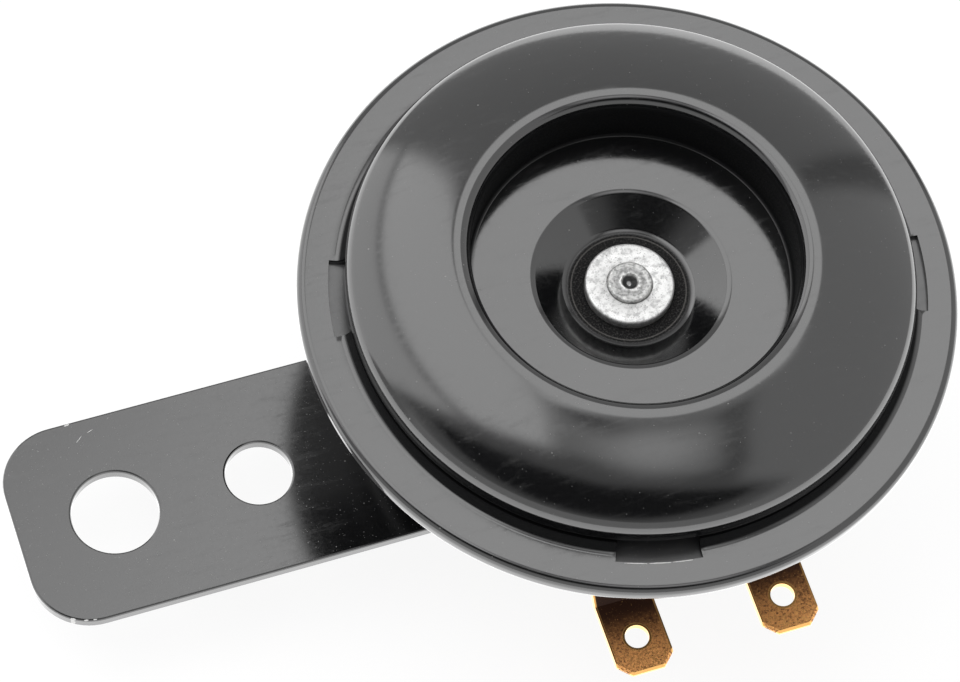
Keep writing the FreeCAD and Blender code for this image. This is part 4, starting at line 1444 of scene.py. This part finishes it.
@dataclass(frozen=True)
class Room:
    """The room's light: a soft panel overhead to the left, pale walls and a dark side behind the camera.

    Places in it are in degrees east and north of the zenith, which is straight above the horn.

    Attributes:
        white: strength of the large soft panel.
        high_wall: strength of the wall beyond the horn.
        low_wall: strength of the wall to the right.
        lamp: strength of the bright spot over the camera.
        shutter: strength of the grey spot beside it.
        night: strength of the dark side.
        shade: share of a wall's light that a seam or the dim side takes away.
        mirror: the point of the sky that level faces mirror.
        spread: scale of the whole pattern about that point.
        seam: direction across the seam between the walls, east and north.
        seam_offset: degrees from the zenith to that seam.
        seam_half: least half width of the seam's shadow.
        seam_widening: how fast that grows towards the east.
        seam_start: degrees east from which it grows.
        seam_seen: degrees east from which the shadow shows.
        streak: degrees east of an upright streak on the lower wall.
        streak_half: half its width.
        streak_ends: degrees north of its two ends.
        dim_corner: degrees east and north up to which a corner of the lower wall is dim.
        dim_reach: degrees from the zenith up to which the dim side goes.
        panel_end: the panel's lower left end.
        panel_far: the panel's far side.
        panel_near: the panel's near side, past which its inner part goes on.
        inner_right: right side of that inner part.
        inner_far: far side of that inner part.
        inner_start: degrees north where it starts.
        frame: the point that the panel's round frame runs about.
        frame_radius: degrees from that point to the frame.
        frame_half: half the frame's width.
        frame_shade: share of the panel's light that the frame takes away.
        past_frame: share of the light that is left past it.
        dark_left: the dark side's left edge.
        dark_near: the dark side's near edge.
        dark_right: the dark side's right edge.
        dark_reach: degrees from the zenith up to which the dark side goes.
        lamp_spot: the bright spot over the camera.
        shutter_spot: the grey spot beside it.
    """

    white: float = 2.85
    high_wall: float = 0.8
    low_wall: float = 1.08
    lamp: float = 2.1
    shutter: float = 0.5
    night: float = 0.025
    shade: float = 0.55
    mirror: tuple[float, float] = (14.0, 24.5)
    spread: float = 0.945
    seam: tuple[float, float] = (-0.259, 0.966)
    seam_offset: float = 18.4
    seam_half: float = 1.2
    seam_widening: float = 0.1
    seam_start: float = 20.0
    seam_seen: float = 35.0
    streak: float = 19.0
    streak_half: float = 3.0
    streak_ends: tuple[float, float] = (-29.0, -1.0)
    dim_corner: tuple[float, float] = (20.0, -28.0)
    dim_reach: float = 52.0
    panel_end: SkyEdge = SkyEdge((-18.0, -12.0), 239.0, 3.0)
    panel_far: SkyEdge = SkyEdge((-4.0, 38.0), 29.0, 3.0)
    panel_near: SkyEdge = SkyEdge((-10.0, 0.0), -31.0, 2.5)
    inner_right: SkyEdge = SkyEdge((27.0, 0.0), 0.0, 2.0)
    inner_far: SkyEdge = SkyEdge((14.0, 34.0), 78.0, 2.5)
    inner_start: float = 6.0
    frame: tuple[float, float] = (20.0, 25.0)
    frame_radius: float = 60.5
    frame_half: float = 1.6
    frame_shade: float = 0.75
    past_frame: float = 0.7
    dark_left: SkyEdge = SkyEdge((-12.0, -27.0), 232.8, 2.0)
    dark_near: SkyEdge = SkyEdge((-12.0, -27.0), 249.4, 2.0)
    dark_right: SkyEdge = SkyEdge((25.0, -38.0), 30.0, 3.0)
    dark_reach: float = 44.5
    lamp_spot: SkySpot = SkySpot((4.0, -15.0), (13.0, 12.0), 0.6)
    shutter_spot: SkySpot = SkySpot((-1.0, -3.0), (5.0, 10.0))

    def sky(self, maker: NodeMaker) -> Sky:
        """Works out the direction from the horn.

        Args:
            maker: the maker of the world's tree.

        Returns:
            The direction in degrees, with the pattern's scale in it.
        """
        coordinate = maker.node("ShaderNodeTexCoord")
        x, y, z = maker.split(Socket(maker, coordinate.outputs["Generated"]))
        zenith = z.arccosine() * (180.0 / math.pi)
        flat = (x * x + y * y + TINY).root()
        east, north = ((part / flat * zenith - middle) / self.spread + middle
                       for part, middle in zip((x, y), self.mirror))
        return Sky(east, north, zenith)

    def walls(self, maker: NodeMaker, sky: Sky) -> Socket:
        """Lights the two walls, with the seam between them, a streak and the dim side.

        Args:
            maker: the maker of the world's tree.
            sky: the direction.

        Returns:
            The strength of the light.
        """
        side = sky.east * self.seam[0] + sky.north * self.seam[1] - self.seam_offset
        width = ((sky.east - self.seam_start) * self.seam_widening).larger(self.seam_half)
        band = (abs(side) / width).under(1.0, 0.5) * sky.east.over(self.seam_seen, 5.0)
        low, high = self.streak_ends
        streak = abs(sky.east - self.streak).under(self.streak_half, 2.0)
        streak = streak * sky.north.under(high, 3.0) * sky.north.over(low, 3.0)
        corner = sky.north.under(self.dim_corner[1], 2.0) * sky.east.under(self.dim_corner[0], 3.0)
        dim = sky.beyond(self.panel_end).larger(corner) * sky.zenith.under(self.dim_reach, 4.0)
        level = maker.blend(side.over(0.0, 5.0), self.low_wall, self.high_wall)
        for shadow in (band, streak, dim):
            level = level * (1.0 - shadow * self.shade)
        return level

    def panel(self, sky: Sky) -> Socket:
        """Shapes the large soft panel.

        Args:
            sky: the direction.

        Returns:
            One on the panel, less on its frame and past it, and nothing elsewhere.
        """
        near = sky.beyond(self.panel_near)
        outer = (1.0 - sky.beyond(self.panel_far)) * (1.0 - near) * (1.0 - sky.beyond(self.panel_end))
        inner = (1.0 - sky.beyond(self.inner_right)) * (1.0 - sky.beyond(self.inner_far))
        whole = outer.larger(inner * sky.north.over(self.inner_start, 2.5) * near)
        away = sky.away(*self.frame)
        frame = abs(away - self.frame_radius).under(self.frame_half, 1.0)
        past = away.ramp(self.frame_radius - 1.5, self.frame_radius + 2.5, 1.0, self.past_frame)
        return whole * (1.0 - frame * self.frame_shade) * past

    def build(self) -> None:
        """Lights the world."""
        world = bpy.data.worlds.new("soft_studio")
        bpy.context.scene.world = world
        world.use_nodes = True
        maker = NodeMaker(world.node_tree)
        sky = self.sky(maker)
        dark = sky.beyond(self.dark_left).larger(sky.beyond(self.dark_near))
        dark = dark * (1.0 - sky.beyond(self.dark_right)) * sky.zenith.under(self.dark_reach, 2.0)
        level = self.walls(maker, sky)
        for mask, strength in ((sky.inside(self.shutter_spot), self.shutter),
                               (sky.inside(self.lamp_spot), self.lamp),
                               (self.panel(sky), self.white),
                               (dark, self.night)):
            level = maker.blend(mask, level, strength)
        background = maker.node("ShaderNodeBackground", {}, {"Color": WHITE, "Strength": level})
        maker.node("ShaderNodeOutputWorld", {}, {"Surface": background.outputs[0]})
        LOG.info("room: panel at %.2f", self.white)


@dataclass
class CarriedOver:
    """The CAD nodes that stay as they are and only get a finish.

    Attributes:
        finishes: the finish of each node.
    """

    finishes: Mapping[str, Finish]

    def build(self, nodes: Mapping[str, bpy.types.Object]) -> None:
        """Gives each node its finish.

        Args:
            nodes: the frame's nodes by name.
        """
        for name, finish in self.finishes.items():
            node = nodes[name]
            if not node.material_slots:
                node.data.materials.append(None)
            for slot in node.material_slots:
                slot.material = finish.material()
            LOG.info("%s: %s", name, finish.name)


def main() -> None:
    """Loads the frame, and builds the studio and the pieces."""
    logging.basicConfig(level=logging.INFO, format="%(name)s %(message)s")
    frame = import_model()
    bpy.context.scene.view_settings.view_transform = "Standard"
    for maker in (Studio(), Room(), ToneDisc(), FrontRing(), ToneWasher(), Bracket()):
        maker.build()
    CarriedOver(NODE_FINISHES).build(frame["nodes"])


if __name__ == "__main__":
    main()
